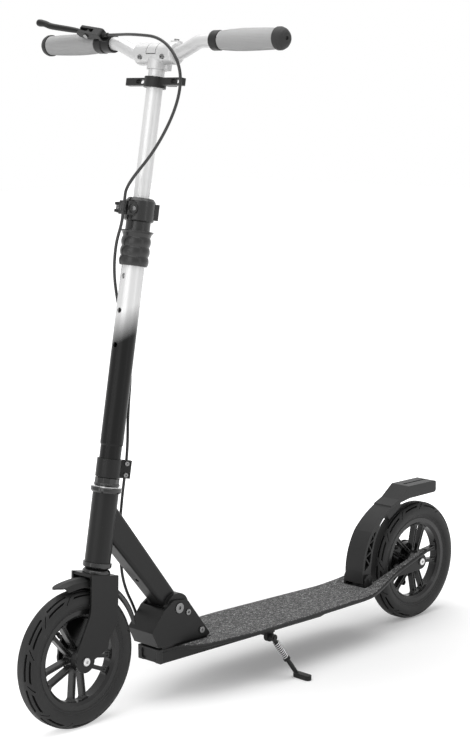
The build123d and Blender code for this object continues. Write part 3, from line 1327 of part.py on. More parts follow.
# Rear mudguard that serves as the foot brake: trussed stem, thin arch, flat brake pad and treadle
def over_tyre(gap, angle):
    """Point this far outside the rear tyre, by its angle up from straight ahead."""
    r = WHEEL_R + gap
    return (REAR_X + r * cos(radians(angle)), WHEEL_R + r * sin(radians(angle)))


CELL_DEPTH = 16.0
CELL_SCALE = 0.8
GUARD_FOOT = HINGE_Z - 6.5
outer = [over_tyre(51, 3), over_tyre(51, 13), over_tyre(49, 22), over_tyre(45.5, 30)]
inner = [over_tyre(34.5, 8), over_tyre(35.5, 18), over_tyre(37.5, 27), over_tyre(39.5, 33)]
pad_end = (WHEEL_R + PAD_GAP) / cos(radians(PAD_SPREAD)) - WHEEL_R
with BuildPart() as rear_mudguard:
    with BuildSketch(Plane.XZ):
        with BuildLine():
            front_top = over_tyre(55.06, 3.7)
            stem_front = Line((front_top[0], GUARD_FOOT), front_top)
            bow = ThreePointArc(stem_front @ 1, over_tyre(54.7, 14.7), over_tyre(50.9, 30))
            brow = ThreePointArc(bow @ 1, over_tyre(42.8, 41.2), over_tyre(34.6, 54.3))
            top = FilletPolyline(
                brow @ 1, over_tyre(36.4, 55.3), over_tyre(32.7, 64.2), over_tyre(43.1, 77.7),
                over_tyre(46.2, 107.8), over_tyre(37.4, 111.3), over_tyre(24.2, 110.3), over_tyre(19.1, 76.8),
                over_tyre(26.2, 62.7), radius=[0, 3, 4, 11, 10, 10, 3],
            )
            under = ThreePointArc(top @ 1, over_tyre(34.1, 49.6), over_tyre(36.6, 37.8))
            back = ThreePointArc(under @ 1, over_tyre(32.8, 21.8), over_tyre(30.9, 2.75))
            Polyline(back @ 1, ((back @ 1).X, GUARD_FOOT), stem_front @ 0)
        make_face()
    extrude(amount=FENDER_HALF, both=True)
    with BuildSketch(Plane.XZ):
        with BuildLine():
            shoe = Line(over_tyre(pad_end, PAD_ANGLE - PAD_SPREAD), over_tyre(pad_end, PAD_ANGLE + PAD_SPREAD))
            root = ThreePointArc(
                over_tyre(27, PAD_ANGLE + PAD_SPREAD), over_tyre(32, PAD_ANGLE),
                over_tyre(35.8, PAD_ANGLE - PAD_SPREAD),
            )
            Line(shoe @ 1, root @ 0)
            Line(root @ 1, shoe @ 0)
        make_face()
    extrude(amount=PAD_HALF, both=True)
    with BuildSketch(Plane.XZ):
        with Locations((HINGE_X, HINGE_Z)):
            Circle(PIN_R + FIT)
    extrude(amount=FENDER_HALF, both=True, mode=Mode.SUBTRACT)
    for way in (-1, 1):
        with BuildSketch(Plane.XZ.offset(-way * FENDER_HALF)):
            for i in range(len(outer) - 1):
                for tri in ((outer[i], inner[i], outer[i + 1]), (inner[i], outer[i + 1], inner[i + 1])):
                    cx = sum(p[0] for p in tri) / 3
                    cz = sum(p[1] for p in tri) / 3
                    corners = [(cx + CELL_SCALE * (p[0] - cx), cz + CELL_SCALE * (p[1] - cz)) for p in tri]
                    Polygon(*corners, align=None)
        extrude(amount=way * CELL_DEPTH, mode=Mode.SUBTRACT)
    with BuildSketch(Plane.XY.offset(WHEEL_R + 155)):
        with Locations((REAR_X - 9.3, 0)):
            SlotOverall(70, 5)
    extrude(amount=-3.5, mode=Mode.SUBTRACT)
    with BuildSketch(Plane.XY):
        with Locations((REAR_X - 55.3 + 140, 0)):
            RectangleRounded(280, 2 * FENDER_HALF, 9)
    extrude(amount=3 * WHEEL_R, mode=Mode.INTERSECT)
save(rear_mudguard.part, "rear_mudguard")

ear_low = deck_z(HINGE_X) - EAR_SEAT
with BuildPart() as guard_bracket:
    for way in (-1, 1):
        with BuildSketch(Plane.XZ.offset(-way * (EAR_IN + EAR_T / 2))):
            with Locations((HINGE_X, (HINGE_Z + ear_low) / 2)):
                Rectangle(EAR_X1 - EAR_X0, HINGE_Z - ear_low)
            with Locations((HINGE_X, HINGE_Z)):
                Circle((EAR_X1 - EAR_X0) / 2)
        extrude(amount=EAR_T / 2, both=True)
    add(cross(HINGE_X, HINGE_Z, -EAR_IN - EAR_T - 2, EAR_IN + EAR_T + 2, PIN_R))
save(guard_bracket.part, "guard_bracket")

# Kickstand: bracket, leg with foot, and a coil spring round the leg
BRACKET_TOP = deck_z(STAND_X - 14) - PLATE_T
with BuildPart() as stand_bracket:
    with BuildSketch(Plane.XY.offset(BRACKET_TOP)):
        with Locations((STAND_X + 1, STAND_Y - 16)):
            RectangleRounded(30, 20, 3)
    extrude(amount=-4)
    with BuildSketch(Plane.XZ.offset(-(STAND_Y - 5.5))):
        with Locations((STAND_X, (BRACKET_TOP + STAND_Z) / 2)):
            Rectangle(17, BRACKET_TOP - STAND_Z)
        with Locations((STAND_X, STAND_Z)):
            Circle(8.5)
    extrude(amount=8)
    add(cross(STAND_X, STAND_Z, STAND_Y - 7, STAND_Y + 7, STAND_PIN_R))
save(stand_bracket.part, "stand_bracket")

leg_vec = Vector(FOOT_X - STAND_X, FOOT_Y - STAND_Y, FOOT_H / 2 - STAND_Z)
leg_plane = Plane(origin=(STAND_X, STAND_Y, STAND_Z), x_dir=leg_vec.cross(Vector(0, 1, 0)), z_dir=leg_vec)
with BuildPart() as stand_leg:
    add(cross(STAND_X, STAND_Z, STAND_Y - 5.2, STAND_Y + 5.2, 6.6))
    with BuildSketch(leg_plane):
        Circle(ROD_R)
    extrude(amount=leg_vec.length)
    with BuildSketch(leg_plane.offset(COIL_END + 0.3)):
        Circle(6.4)
    extrude(amount=5)
    with BuildSketch(Plane.XY):
        with Locations((FOOT_X, FOOT_Y + 11)):
            SlotOverall(40, 13, rotation=88)
    extrude(amount=FOOT_H)
    fillet(stand_leg.edges().group_by(Axis.Z)[0], 1.2)
    with BuildSketch(Plane.XZ.offset(-STAND_Y - 10)):
        with Locations((STAND_X, STAND_Z)):
            Circle(STAND_PIN_R + FIT)
    extrude(amount=20, mode=Mode.SUBTRACT)
save(stand_leg.part, "stand_leg")


def helix(t):
    a = 2 * pi * t
    z = COIL_START + COIL_WIRE + (COIL_END - COIL_START - 2 * COIL_WIRE) * t / COIL_TURNS
    return leg_plane.from_local_coords(Vector(COIL_R * cos(a), COIL_R * sin(a), z))


def helix_dir(t):
    a = 2 * pi * t
    rise = (COIL_END - COIL_START - 2 * COIL_WIRE) / COIL_TURNS / (2 * pi)
    round_rod = leg_plane.x_dir * (-COIL_R * sin(a)) + leg_plane.y_dir * (COIL_R * cos(a))
    return (round_rod + leg_plane.z_dir * rise).normalized()


def biarc(p0, t0, p1, t1):
    """Two tangent arcs between two points with given directions."""
    v = p1 - p0
    s = t0 + t1
    a = 2 * (t0.dot(t1) - 1)
    b = -2 * v.dot(s)
    c = v.dot(v)
    d = (-b - sqrt(b * b - 4 * a * c)) / (2 * a) if abs(a) > 1e-9 else -c / b
    mid = (p0 + p1 + (t0 - t1) * d) * 0.5
    return mid


with BuildPart() as stand_spring:
    with BuildLine() as coil_path:
        for i in range(2 * COIL_TURNS):
            start = helix(i / 2)
            stop = helix((i + 1) / 2)
            middle = biarc(start, helix_dir(i / 2), stop, helix_dir((i + 1) / 2))
            first = TangentArc(start, middle, tangent=helix_dir(i / 2))
            TangentArc(middle, stop, tangent=first % 1)
        Line(helix(0), helix(0) - helix_dir(0) * 2 * COIL_WIRE)
        Line(helix(COIL_TURNS), helix(COIL_TURNS) + helix_dir(COIL_TURNS) * 2 * COIL_WIRE)
    with BuildSketch(Plane(origin=helix(0) - helix_dir(0) * 2 * COIL_WIRE, z_dir=helix_dir(0))):
        Circle(COIL_WIRE)
    sweep()
save(stand_spring.part, "stand_spring")
coil_pitch = (COIL_END - COIL_START - 2 * COIL_WIRE) / COIL_TURNS
print("stand spring: gap between turns", round(coil_pitch - 2 * COIL_WIRE, 2))


# Brake cable: each held run is one tube of straight stretches and tangent arcs
def cable(points, radii, name):
    with BuildPart() as run:
        with BuildLine() as path:
            FilletPolyline(*points, radius=radii)
        with BuildSketch(Plane(origin=points[0], z_dir=Vector(*points[1]) - Vector(*points[0]))):
            Circle(CABLE_R)
        sweep()
    arcs = sorted(round(e.radius, 1) for e in path.edges() if e.geom_type == GeomType.CIRCLE)
    longest = max(e.length for e in path.edges() if e.geom_type == GeomType.LINE)
    print(name, "length", round(path.wire().length, 1), "radii", arcs, "longest straight", round(longest, 1))
    return run.part


cable_start = barrel_plane.from_local_coords((0, 0, 12.1))
upper_points = [
    tuple(cable_start), tuple(cable_start + Vector(0, 22, 0)), world(40, -24, BAR_K + 24.5),
    world(38, 46, BAR_K + 18.5), world(24, 82, BAR_K - 24.5), world(22, 84, BAR_K - 82.5),
    world(28, 52, COLLAR_TOP + 77), world(EYE_N, EYE_Y, COLLAR_TOP + 16),
    world(EYE_N, EYE_Y, COLLAR_MID - 24), world(31, -14, SLEEVE_TOP - 25), world(18, -25, SLEEVE_LOW - 13),
    world(2, -27, SLEEVE_LOW - 56), world(-16, -20, SLEEVE_LOW - 108), world(-26, -3, SLEEVE_LOW - 163),
    world(-26.5, 1, RING_TOP + 77.5), world(*LUG_CABLE, RING_TOP + 14), world(*LUG_CABLE, RING_MID + 0.1),
]
upper_radii = [60, 90, 60, 40, 70, 150, 60, 60, 90, 90, 90, 80, 90, 250, 250]
save(cable(upper_points, upper_radii, "upper cable"), "brake_cable_upper")

lower_points = [
    world(*LUG_CABLE, RING_MID - 0.1), world(*LUG_CABLE, RING_LOW - 8), world(-46, -9, HEAD_TOP - 17),
    (PIVOT_X + 85, -23.5, PIVOT_Z + 143), (PIVOT_X + 84, -24.5, PIVOT_Z + 84),
    (PIVOT_X + 72, -27, PIVOT_Z + 38), (PIVOT_X + 42, -37, PIVOT_Z - 4), (PIVOT_X + 34, -38, PIVOT_Z - 26),
]
save(cable(lower_points, [60, 90, 120, 120, 120, 60], "lower cable"), "brake_cable_lower")

CLIP_OUT = BLOCK_HALF + 8.0
RUN_DROP = 18.5
RUN_OUT = 33.4
RUN_SWAY = 1.4
RUN_X = NOSE_X - 72.0
RUN_END_X = HINGE_X + 85.0
RUN_STEPS = 7
RUN_PITCH = (RUN_X - RUN_END_X) / (RUN_STEPS - 1)
clip_at = Vector(*lower_points[-1])
clip_dir = (clip_at - Vector(*lower_points[-2])).normalized()
deck_points = [tuple(clip_at + clip_dir * 0.2), tuple(clip_at + clip_dir * 55)]
for i in range(RUN_STEPS):
    x = RUN_X - i * RUN_PITCH
    deck_points.append((x, -RUN_OUT - RUN_SWAY * (i % 2), deck_z(x) - RUN_DROP))
drop_x = HINGE_X + 11
drop_z = (deck_z(drop_x) - RUN_DROP + WIRE_Z + 5.3) / 2
deck_points += [
    (drop_x, -33, drop_z), (REAR_X + 95.7, -30, WIRE_Z + 3), (REAR_X + 52.7, CABLE_Y, WIRE_Z),
    (STOP_X - 1.4, CABLE_Y, WIRE_Z),
]
deck_radii = [48, 70] + [600] * (RUN_STEPS - 2) + [300, 200, 250, 120]
deck_cable = cable(deck_points, deck_radii, "deck cable")
with BuildPart() as brake_cable_deck:
    add(deck_cable)
    with BuildSketch(Plane.YZ.offset(CAM_X + 4)):
        with Locations((CABLE_Y, WIRE_Z)):
            Circle(WIRE_R)
    extrude(amount=STOP_X - 1 - CAM_X - 4)
save(brake_cable_deck.part, "brake_cable_deck")

# Cable clips: one on the fold block, two on the deck beam
with BuildPart() as cable_clips:
    clip_in = Vector(0, 1, 0).cross(clip_dir).cross(clip_dir) * -1
    clip_plane = Plane(origin=lower_points[-1], x_dir=clip_in, z_dir=clip_dir)
    with BuildSketch(clip_plane.offset(-4)):
        Circle(CABLE_R + 2)
        with Locations(((CLIP_OUT - BLOCK_HALF - 0.4) / 2, 0)):
            Rectangle(CLIP_OUT - BLOCK_HALF - 0.4, 5)
        Circle(CABLE_R + 0.15, mode=Mode.SUBTRACT)
    extrude(amount=8)
    clip_y = RUN_OUT + RUN_SWAY
    for step in (1, RUN_STEPS - 2):
        x = RUN_X - step * RUN_PITCH
        z = deck_z(x) - RUN_DROP
        with BuildSketch(Plane.YZ.offset(x - 4)):
            with Locations((-clip_y, z)):
                Circle(CABLE_R + 2)
            with Locations(((-clip_y - CORE_HALF) / 2, z)):
                Rectangle(clip_y - CORE_HALF, 5)
            with Locations((-clip_y, z)):
                Circle(CABLE_R + 0.5, mode=Mode.SUBTRACT)
        extrude(amount=8)
save(cable_clips.part, "cable_clips")
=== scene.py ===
import json
import math

import bmesh
import bpy
from mathutils import Matrix, Vector


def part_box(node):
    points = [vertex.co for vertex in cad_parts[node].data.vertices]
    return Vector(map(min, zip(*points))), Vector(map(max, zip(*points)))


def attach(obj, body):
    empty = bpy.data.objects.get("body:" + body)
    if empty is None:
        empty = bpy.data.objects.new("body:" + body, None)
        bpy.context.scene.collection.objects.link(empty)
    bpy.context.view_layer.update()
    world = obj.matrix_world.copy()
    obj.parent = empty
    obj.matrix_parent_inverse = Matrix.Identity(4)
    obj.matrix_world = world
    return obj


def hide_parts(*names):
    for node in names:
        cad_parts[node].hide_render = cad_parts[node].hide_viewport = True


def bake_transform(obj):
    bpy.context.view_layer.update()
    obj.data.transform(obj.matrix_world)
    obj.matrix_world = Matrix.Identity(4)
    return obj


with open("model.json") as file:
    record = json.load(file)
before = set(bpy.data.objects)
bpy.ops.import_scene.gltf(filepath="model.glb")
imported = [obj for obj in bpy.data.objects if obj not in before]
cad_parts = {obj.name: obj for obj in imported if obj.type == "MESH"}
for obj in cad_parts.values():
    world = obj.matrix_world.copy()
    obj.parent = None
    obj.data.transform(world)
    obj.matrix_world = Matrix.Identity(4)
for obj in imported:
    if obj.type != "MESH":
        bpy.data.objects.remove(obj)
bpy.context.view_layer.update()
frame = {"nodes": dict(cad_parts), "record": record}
nodes = frame["nodes"]
scene = bpy.context.scene
scene.view_settings.view_transform = "Standard"

# Units, and the frame's steering axis: its foot on the ground and its directions, in metres
MM = 0.001
FULL_TURN = 2 * math.pi
MERGE = 1e-6
LEFT = Vector((0.0, 1.0, 0.0))
RAKE = math.radians(10.7)
STEER_FOOT = Vector((0.43004, 0.0, 0.0))
STEER_UP = Vector((-math.sin(RAKE), 0.0, math.cos(RAKE)))
STEER_FORWARD = Vector((math.cos(RAKE), 0.0, math.sin(RAKE)))


def steer_point(forward, left, up):
    """Point in metres from millimetres ahead of, beside and along the steering axis."""
    return STEER_FOOT + MM * (forward * STEER_FORWARD + left * LEFT + up * STEER_UP)


def mm_points(*places):
    """Points in metres from places in millimetres."""
    return [MM * Vector(place) for place in places]


def node_centre(name):
    """Middle of a node's box."""
    low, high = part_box(name)
    return (low + high) / 2


# Node trees
def add_node(tree, kind, **settings):
    """New shader node with its settings."""
    node = tree.nodes.new("ShaderNode" + kind)
    for key, value in settings.items():
        setattr(node, key, value)
    return node


def set_inputs(node, values):
    """Sets a node's inputs by name."""
    for name, value in values.items():
        node.inputs[name].default_value = value


def new_group(name, inputs, outputs):
    """Shader group with float inputs, given with their usual values, and typed outputs."""
    group = bpy.data.node_groups.new(name, "ShaderNodeTree")
    for socket, value in inputs.items():
        made = group.interface.new_socket(socket, in_out="INPUT", socket_type="NodeSocketFloat")
        made.default_value = value
    for socket, kind in outputs.items():
        group.interface.new_socket(socket, in_out="OUTPUT", socket_type=kind)
    return group, group.nodes.new("NodeGroupInput"), group.nodes.new("NodeGroupOutput")


def grain_group():
    """Even grain: a value that wanders from Low to High, and the grain itself as a height."""
    group, given, out = new_group(
        "surface_grain",
        {"Scale": 900.0, "Low": 0.0, "High": 1.0},
        {"Value": "NodeSocketFloat", "Height": "NodeSocketFloat"},
    )
    coords = add_node(group, "TexCoord")
    noise = add_node(group, "TexNoise")
    set_inputs(noise, {"Detail": 3.0, "Roughness": 0.6})
    spread = add_node(group, "MapRange")
    set_inputs(spread, {"From Min": 0.3, "From Max": 0.7})
    link = group.links.new
    link(coords.outputs["Object"], noise.inputs["Vector"])
    link(given.outputs["Scale"], noise.inputs["Scale"])
    link(noise.outputs["Fac"], spread.inputs["Value"])
    link(given.outputs["Low"], spread.inputs["To Min"])
    link(given.outputs["High"], spread.inputs["To Max"])
    link(spread.outputs["Result"], out.inputs["Value"])
    link(noise.outputs["Fac"], out.inputs["Height"])
    return group


def edge_group():
    """Rounded edges: the softened normal, and a mask of the outer edges where a painted highlight
    goes.
    """
    group, given, out = new_group(
        "soft_edges_and_painted_highlight", {"Radius": 0.0008}, {"Normal": "NodeSocketVector", "Mask": "NodeSocketFloat"}
    )
    bevel = add_node(group, "Bevel", samples=6)
    shape = add_node(group, "NewGeometry")
    agree = add_node(group, "VectorMath", operation="DOT_PRODUCT")
    mask = add_node(group, "MapRange")
    set_inputs(mask, {"From Min": 0.995, "From Max": 0.8, "To Min": 0.0, "To Max": 1.0})
    link = group.links.new
    link(given.outputs["Radius"], bevel.inputs["Radius"])
    link(bevel.outputs["Normal"], agree.inputs[0])
    link(shape.outputs["Normal"], agree.inputs[1])
    link(agree.outputs["Value"], mask.inputs["Value"])
    link(bevel.outputs["Normal"], out.inputs["Normal"])
    link(mask.outputs["Result"], out.inputs["Mask"])
    return group


def handling_group():
    """Soft patches of handling and dust, as a mask from 0 to Amount."""
    group, given, out = new_group(
        "handling", {"Amount": 0.3, "Scale": 16.0}, {"Mask": "NodeSocketFloat"}
    )
    coords = add_node(group, "TexCoord")
    noise = add_node(group, "TexNoise")
    set_inputs(noise, {"Detail": 4.0, "Roughness": 0.55})
    spread = add_node(group, "MapRange", interpolation_type="SMOOTHSTEP")
    set_inputs(spread, {"From Min": 0.42, "From Max": 0.72, "To Min": 0.0})
    link = group.links.new
    link(coords.outputs["Object"], noise.inputs["Vector"])
    link(given.outputs["Scale"], noise.inputs["Scale"])
    link(noise.outputs["Fac"], spread.inputs["Value"])
    link(given.outputs["Amount"], spread.inputs["To Max"])
    link(spread.outputs["Result"], out.inputs["Mask"])
    return group


GRAIN = grain_group()
EDGES = edge_group()
HANDLING = handling_group()


def place_group(tree, group, **values):
    """Shader group placed in a tree, with its inputs set."""
    node = tree.nodes.new("ShaderNodeGroup")
    node.node_tree = group
    set_inputs(node, values)
    return node


def mix_colours(tree, factor, first, second):
    """Colour between two colours or sockets, by a factor socket."""
    mix = add_node(tree, "Mix", data_type="RGBA")
    tree.links.new(factor, mix.inputs["Factor"])
    for socket, value in ((mix.inputs["A"], first), (mix.inputs["B"], second)):
        if isinstance(value, bpy.types.NodeSocket):
            tree.links.new(value, socket)
        else:
            socket.default_value = (*value, 1.0)
    return mix.outputs["Result"]


def grey(value):
    """Neutral colour."""
    return (value, value, value)


# Materials
def new_material(name):
    """Material with its node tree and its shader."""
    material = bpy.data.materials.new(name)
    material.use_nodes = True
    tree = material.node_tree
    return material, tree, tree.nodes["Principled BSDF"]


def link_relief(tree, shader, grain, edges, bump):
    """Grained roughness, and a fine bump of (strength, distance) over the softened edges."""
    relief = add_node(tree, "Bump")
    set_inputs(relief, {"Strength": bump[0], "Distance": bump[1]})
    link = tree.links.new
    link(grain.outputs["Value"], shader.inputs["Roughness"])
    link(grain.outputs["Height"], relief.inputs["Height"])
    link(edges.outputs["Normal"], relief.inputs["Normal"])
    link(relief.outputs["Normal"], shader.inputs["Normal"])


def finish_material(
    name, tones, roughness, grain, bump, metallic=0.0, specular=0.5, edge_radius=0.0008,
    patches=0.35, patch_scale=16.0,
):
    """Grey material whose tones are those of its surface, its patches and the painted highlight on its
    edges.
    """
    surface, patch_tone, edge_highlight_tone = (grey(tone) for tone in tones)
    material, tree, shader = new_material(name)
    set_inputs(shader, {"Metallic": metallic, "Specular IOR Level": specular})
    grained = place_group(tree, GRAIN, Scale=grain, Low=roughness[0], High=roughness[1])
    edges = place_group(tree, EDGES, Radius=edge_radius)
    patch = place_group(tree, HANDLING, Amount=patches, Scale=patch_scale)
    base = mix_colours(tree, patch.outputs["Mask"], surface, patch_tone)
    # The edge tone is a painted highlight, laid along the outer edges by the edge mask
    highlighted_colour = mix_colours(tree, edges.outputs["Mask"], base, edge_highlight_tone)
    tree.links.new(highlighted_colour, shader.inputs["Base Color"])
    link_relief(tree, shader, grained, edges, bump)
    return material


def paint_groove_shade(material, tone, specular, groove_specular):
    """Paints shade into a material where its mesh's groove attribute is set: a darker colour and a
    weaker reflection in the grooves.
    """
    tree = material.node_tree
    shader = tree.nodes["Principled BSDF"]
    mask = add_node(tree, "Attribute", attribute_name="groove")
    base = shader.inputs["Base Color"].links[0].from_socket
    shine = add_node(tree, "MapRange")
    set_inputs(shine, {"To Min": specular, "To Max": groove_specular})
    link = tree.links.new
    link(mix_colours(tree, mask.outputs["Fac"], base, grey(tone)), shader.inputs["Base Color"])
    link(mask.outputs["Fac"], shine.inputs["Value"])
    link(shine.outputs["Result"], shader.inputs["Specular IOR Level"])


# Column paint: the fade's heights along the steering axis in millimetres, and how far it slants
SILVER_METAL = 0.3
FADE_SILVER = 0.80
FADE_BLACK = 0.009
FADE_TOP = 688
FADE_FOOT = 636
FADE_SLANT = 0.7
FADE_SPECKLE = 4 * MM


def fade_material(name):
    """Column paint: silver above and black below, with a slanted sprayed fade between them."""
    across = Vector((-1.0, 1.0, 0.0))
    across -= across.dot(STEER_UP) * STEER_UP
    slant = STEER_UP - FADE_SLANT * across.normalized()
    foot = STEER_FOOT.dot(slant)
    material, tree, shader = new_material(name)
    set_inputs(shader, {"Specular IOR Level": 0.17})
    coords = add_node(tree, "TexCoord")
    along = add_node(tree, "VectorMath", operation="DOT_PRODUCT")
    along.inputs[1].default_value = slant
    speckle = add_node(tree, "TexNoise")
    set_inputs(speckle, {"Scale": 1400.0, "Detail": 2.0, "Roughness": 0.7})
    jitter = add_node(tree, "MapRange")
    set_inputs(
        jitter,
        {"From Min": 0.3, "From Max": 0.7, "To Min": -FADE_SPECKLE, "To Max": FADE_SPECKLE},
    )
    height = add_node(tree, "Math", operation="ADD")
    fade = add_node(tree, "MapRange")
    set_inputs(fade, {"From Min": foot + FADE_FOOT * MM, "From Max": foot + FADE_TOP * MM})
    metal = add_node(tree, "MapRange")
    set_inputs(metal, {"To Min": 0.0, "To Max": SILVER_METAL})
    grain = place_group(tree, GRAIN, Scale=1200.0, Low=0.28, High=0.36)
    edges = place_group(tree, EDGES, Radius=0.0006)
    colour = mix_colours(tree, fade.outputs["Result"], grey(FADE_BLACK), grey(FADE_SILVER))
    link = tree.links.new
    link(coords.outputs["Object"], along.inputs[0])
    link(coords.outputs["Object"], speckle.inputs["Vector"])
    link(speckle.outputs["Fac"], jitter.inputs["Value"])
    link(along.outputs["Value"], height.inputs[0])
    link(jitter.outputs["Result"], height.inputs[1])
    link(height.outputs["Value"], fade.inputs["Value"])
    link(fade.outputs["Result"], metal.inputs["Value"])
    link(colour, shader.inputs["Base Color"])
    link(metal.outputs["Result"], shader.inputs["Metallic"])
    link_relief(tree, shader, grain, edges, (0.12, 0.0002))
    return material


TAPE_DARK = 0.055
TAPE_BRIGHT = 0.50


def tape_material(name):
    """Grip tape: dark sheet with bright grit, in grains of a millimetre or two."""
    material, tree, shader = new_material(name)
    set_inputs(shader, {"Roughness": 0.85, "Specular IOR Level": 0.35})
    coords = add_node(tree, "TexCoord")
    grit = add_node(tree, "TexVoronoi", feature="F1")
    set_inputs(grit, {"Scale": 620.0, "Randomness": 1.0})
    tone = add_node(tree, "SeparateColor")
    bright = add_node(tree, "MapRange")
    set_inputs(bright, {"From Min": 0.45, "From Max": 1.0})
    broad = add_node(tree, "TexNoise")
    set_inputs(broad, {"Scale": 140.0, "Detail": 5.0, "Roughness": 0.7})
    wide = add_node(tree, "MapRange")
    set_inputs(wide, {"From Min": 0.35, "From Max": 0.65})
    blend = add_node(tree, "Math", operation="MULTIPLY")
    relief = add_node(tree, "Bump")
    set_inputs(relief, {"Strength": 0.5, "Distance": 0.0006})
    colour = mix_colours(tree, blend.outputs["Value"], grey(TAPE_DARK), grey(TAPE_BRIGHT))
    link = tree.links.new
    link(coords.outputs["Object"], grit.inputs["Vector"])
    link(coords.outputs["Object"], broad.inputs["Vector"])
    link(grit.outputs["Color"], tone.inputs["Color"])
    link(tone.outputs["Red"], bright.inputs["Value"])
    link(broad.outputs["Fac"], wide.inputs["Value"])
    link(bright.outputs["Result"], blend.inputs[0])
    link(wide.outputs["Result"], blend.inputs[1])
    link(colour, shader.inputs["Base Color"])
    link(grit.outputs["Distance"], relief.inputs["Height"])
    link(relief.outputs["Normal"], shader.inputs["Normal"])
    return material


# In each finish the third tone is a painted highlight along its edges; the first two are its own
# colour and its handling patches
SATIN_BLACK = finish_material(
    "satin_black_paint", tones=(0.013, 0.017, 0.045), roughness=(0.30, 0.38), grain=1500.0,
    bump=(0.08, 0.0002), specular=0.22,
)
# Deck plate: the satin black paint again, with a wider and brighter painted highlight along its edges
PLATE_BLACK_EDGE_HIGHLIGHT = finish_material(
    "plate_black_paint_edge_highlight", tones=(0.013, 0.017, 0.22), roughness=(0.30, 0.38), grain=1500.0,
    bump=(0.08, 0.0002), specular=0.22, edge_radius=0.0016,
)
GLOSS_BLACK = finish_material(
    "gloss_black_paint", tones=(0.012, 0.016, 0.05), roughness=(0.10, 0.16), grain=900.0,
    bump=(0.04, 0.0001), edge_radius=0.0005,
)
RIM_BLACK = finish_material(
    "rim_black_gloss", tones=(0.012, 0.016, 0.06), roughness=(0.2, 0.28), grain=1100.0,
    bump=(0.06, 0.0002), specular=0.35,
)
BLACK_PLASTIC = finish_material(
    "moulded_black_plastic", tones=(0.019, 0.025, 0.06), roughness=(0.36, 0.48), grain=900.0,
    bump=(0.2, 0.0003), specular=0.25,
)
SLEEVE_PLASTIC = finish_material(
    "sleeve_plastic", tones=(0.013, 0.017, 0.04), roughness=(0.26, 0.34), grain=900.0,
    bump=(0.12, 0.0002), specular=0.46,
)
CABLE_JACKET = finish_material(
    "cable_jacket", tones=(0.014, 0.02, 0.03), roughness=(0.32, 0.42), grain=1600.0,
    bump=(0.06, 0.0001),
)
TYRE_SPECULAR = 0.3
TYRE_RUBBER = finish_material(
    "tyre_rubber", tones=(0.020, 0.028, 0.10), roughness=(0.5, 0.65), grain=700.0,
    bump=(0.25, 0.0003), specular=TYRE_SPECULAR, patches=0.5, patch_scale=22.0,
)
# Painted shade in the tread's grooves
paint_groove_shade(TYRE_RUBBER, tone=0.003, specular=TYRE_SPECULAR, groove_specular=0.04)
SOFT_RUBBER = finish_material(
    "soft_rubber", tones=(0.014, 0.019, 0.035), roughness=(0.5, 0.65), grain=900.0,
    bump=(0.2, 0.0002), specular=0.25,
)
PLUG_RUBBER = finish_material(
    "plug_rubber", tones=(0.034, 0.04, 0.09), roughness=(0.5, 0.65), grain=900.0,
    bump=(0.2, 0.0002), specular=0.3,
)
GRIP_GREY = finish_material(
    "grip_rubber_grey", tones=(0.53, 0.48, 0.6), roughness=(0.6, 0.75), grain=900.0,
    bump=(0.2, 0.0002), specular=0.2,
)
SILVER_ALLOY = finish_material(
    "satin_silver_alloy", tones=(0.67, 0.62, 0.72), roughness=(0.36, 0.46), grain=1600.0,
    bump=(0.08, 0.0001), metallic=SILVER_METAL, patches=0.4,
)
TUBE_SILVER = finish_material(
    "anodised_tube_silver", tones=(0.80, 0.76, 0.86), roughness=(0.32, 0.40), grain=1600.0,
    bump=(0.06, 0.0001), metallic=SILVER_METAL, specular=0.3, patches=0.4,
)
BARE_STEEL = finish_material(
    "zinc_plated_steel", tones=(0.62, 0.5, 0.75), roughness=(0.2, 0.34), grain=1300.0,
    bump=(0.1, 0.0001), metallic=1.0, edge_radius=0.0004,
)
BLACK_ZINC = finish_material(
    "black_zinc_steel", tones=(0.22, 0.17, 0.55), roughness=(0.22, 0.34), grain=1300.0,
    bump=(0.08, 0.0001), metallic=1.0, edge_radius=0.0004,
)
GRIP_TAPE = tape_material("grip_tape_sheet")
FADE_PAINT = fade_material("column_fade_paint")

FINISHES = {
    "satin_black": SATIN_BLACK,
    "silver_alloy": SILVER_ALLOY,
    "fade_paint": FADE_PAINT,
    "steel": BARE_STEEL,
    "gloss_black": GLOSS_BLACK,
    "black_steel": SATIN_BLACK,
    "black_zinc": BLACK_ZINC,
    "black_plastic": BLACK_PLASTIC,
    "black_rubber": TYRE_RUBBER,
    "soft_rubber": SOFT_RUBBER,
    "grip_grey": GRIP_GREY,
    "grip_tape": GRIP_TAPE,
    "cable_black": CABLE_JACKET,
}
OWN_FINISHES = {
    "upper_tube": TUBE_SILVER,
    "column_sleeve": SLEEVE_PLASTIC,
    "clamp_collar": SLEEVE_PLASTIC,
    "front_rim": RIM_BLACK,
    "rear_rim": RIM_BLACK,
    "deck_plate": PLATE_BLACK_EDGE_HIGHLIGHT,
    "barrel_adjuster": SATIN_BLACK,
    "bar_plugs": PLUG_RUBBER,
}

# Every node of the frame takes the finish of its slot, or one of its own
for part in frame["record"]["subparts"]:
    name = part["node"]
    mesh = nodes[name].data
    mesh.materials.clear()
    mesh.materials.append(OWN_FINISHES.get(name) or FINISHES[part["material_slot"]])

# Angles, in degrees, above which an edge of a piece stays sharp
PIECE_SHARP = 32.0
TREAD_SHARP = 38.0
ROUND_SHARP = 60.0


# Pieces modelled here
def add_piece(name, bm, body, slot, *replaced, sharp=PIECE_SHARP):
    """Turns a bmesh into a piece that rides on a body and stands for the replaced nodes."""
    bmesh.ops.recalc_face_normals(bm, faces=bm.faces)
    mesh = bpy.data.meshes.new(name)
    bm.to_mesh(mesh)
    bm.free()
    mesh.shade_smooth()
    mesh.set_sharp_from_angle(angle=math.radians(sharp))
    mesh.materials.append(FINISHES[slot])
    piece = bpy.data.objects.new(name, mesh)
    scene.collection.objects.link(piece)
    if body:
        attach(piece, body)
    if replaced:
        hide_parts(*replaced)
    return piece


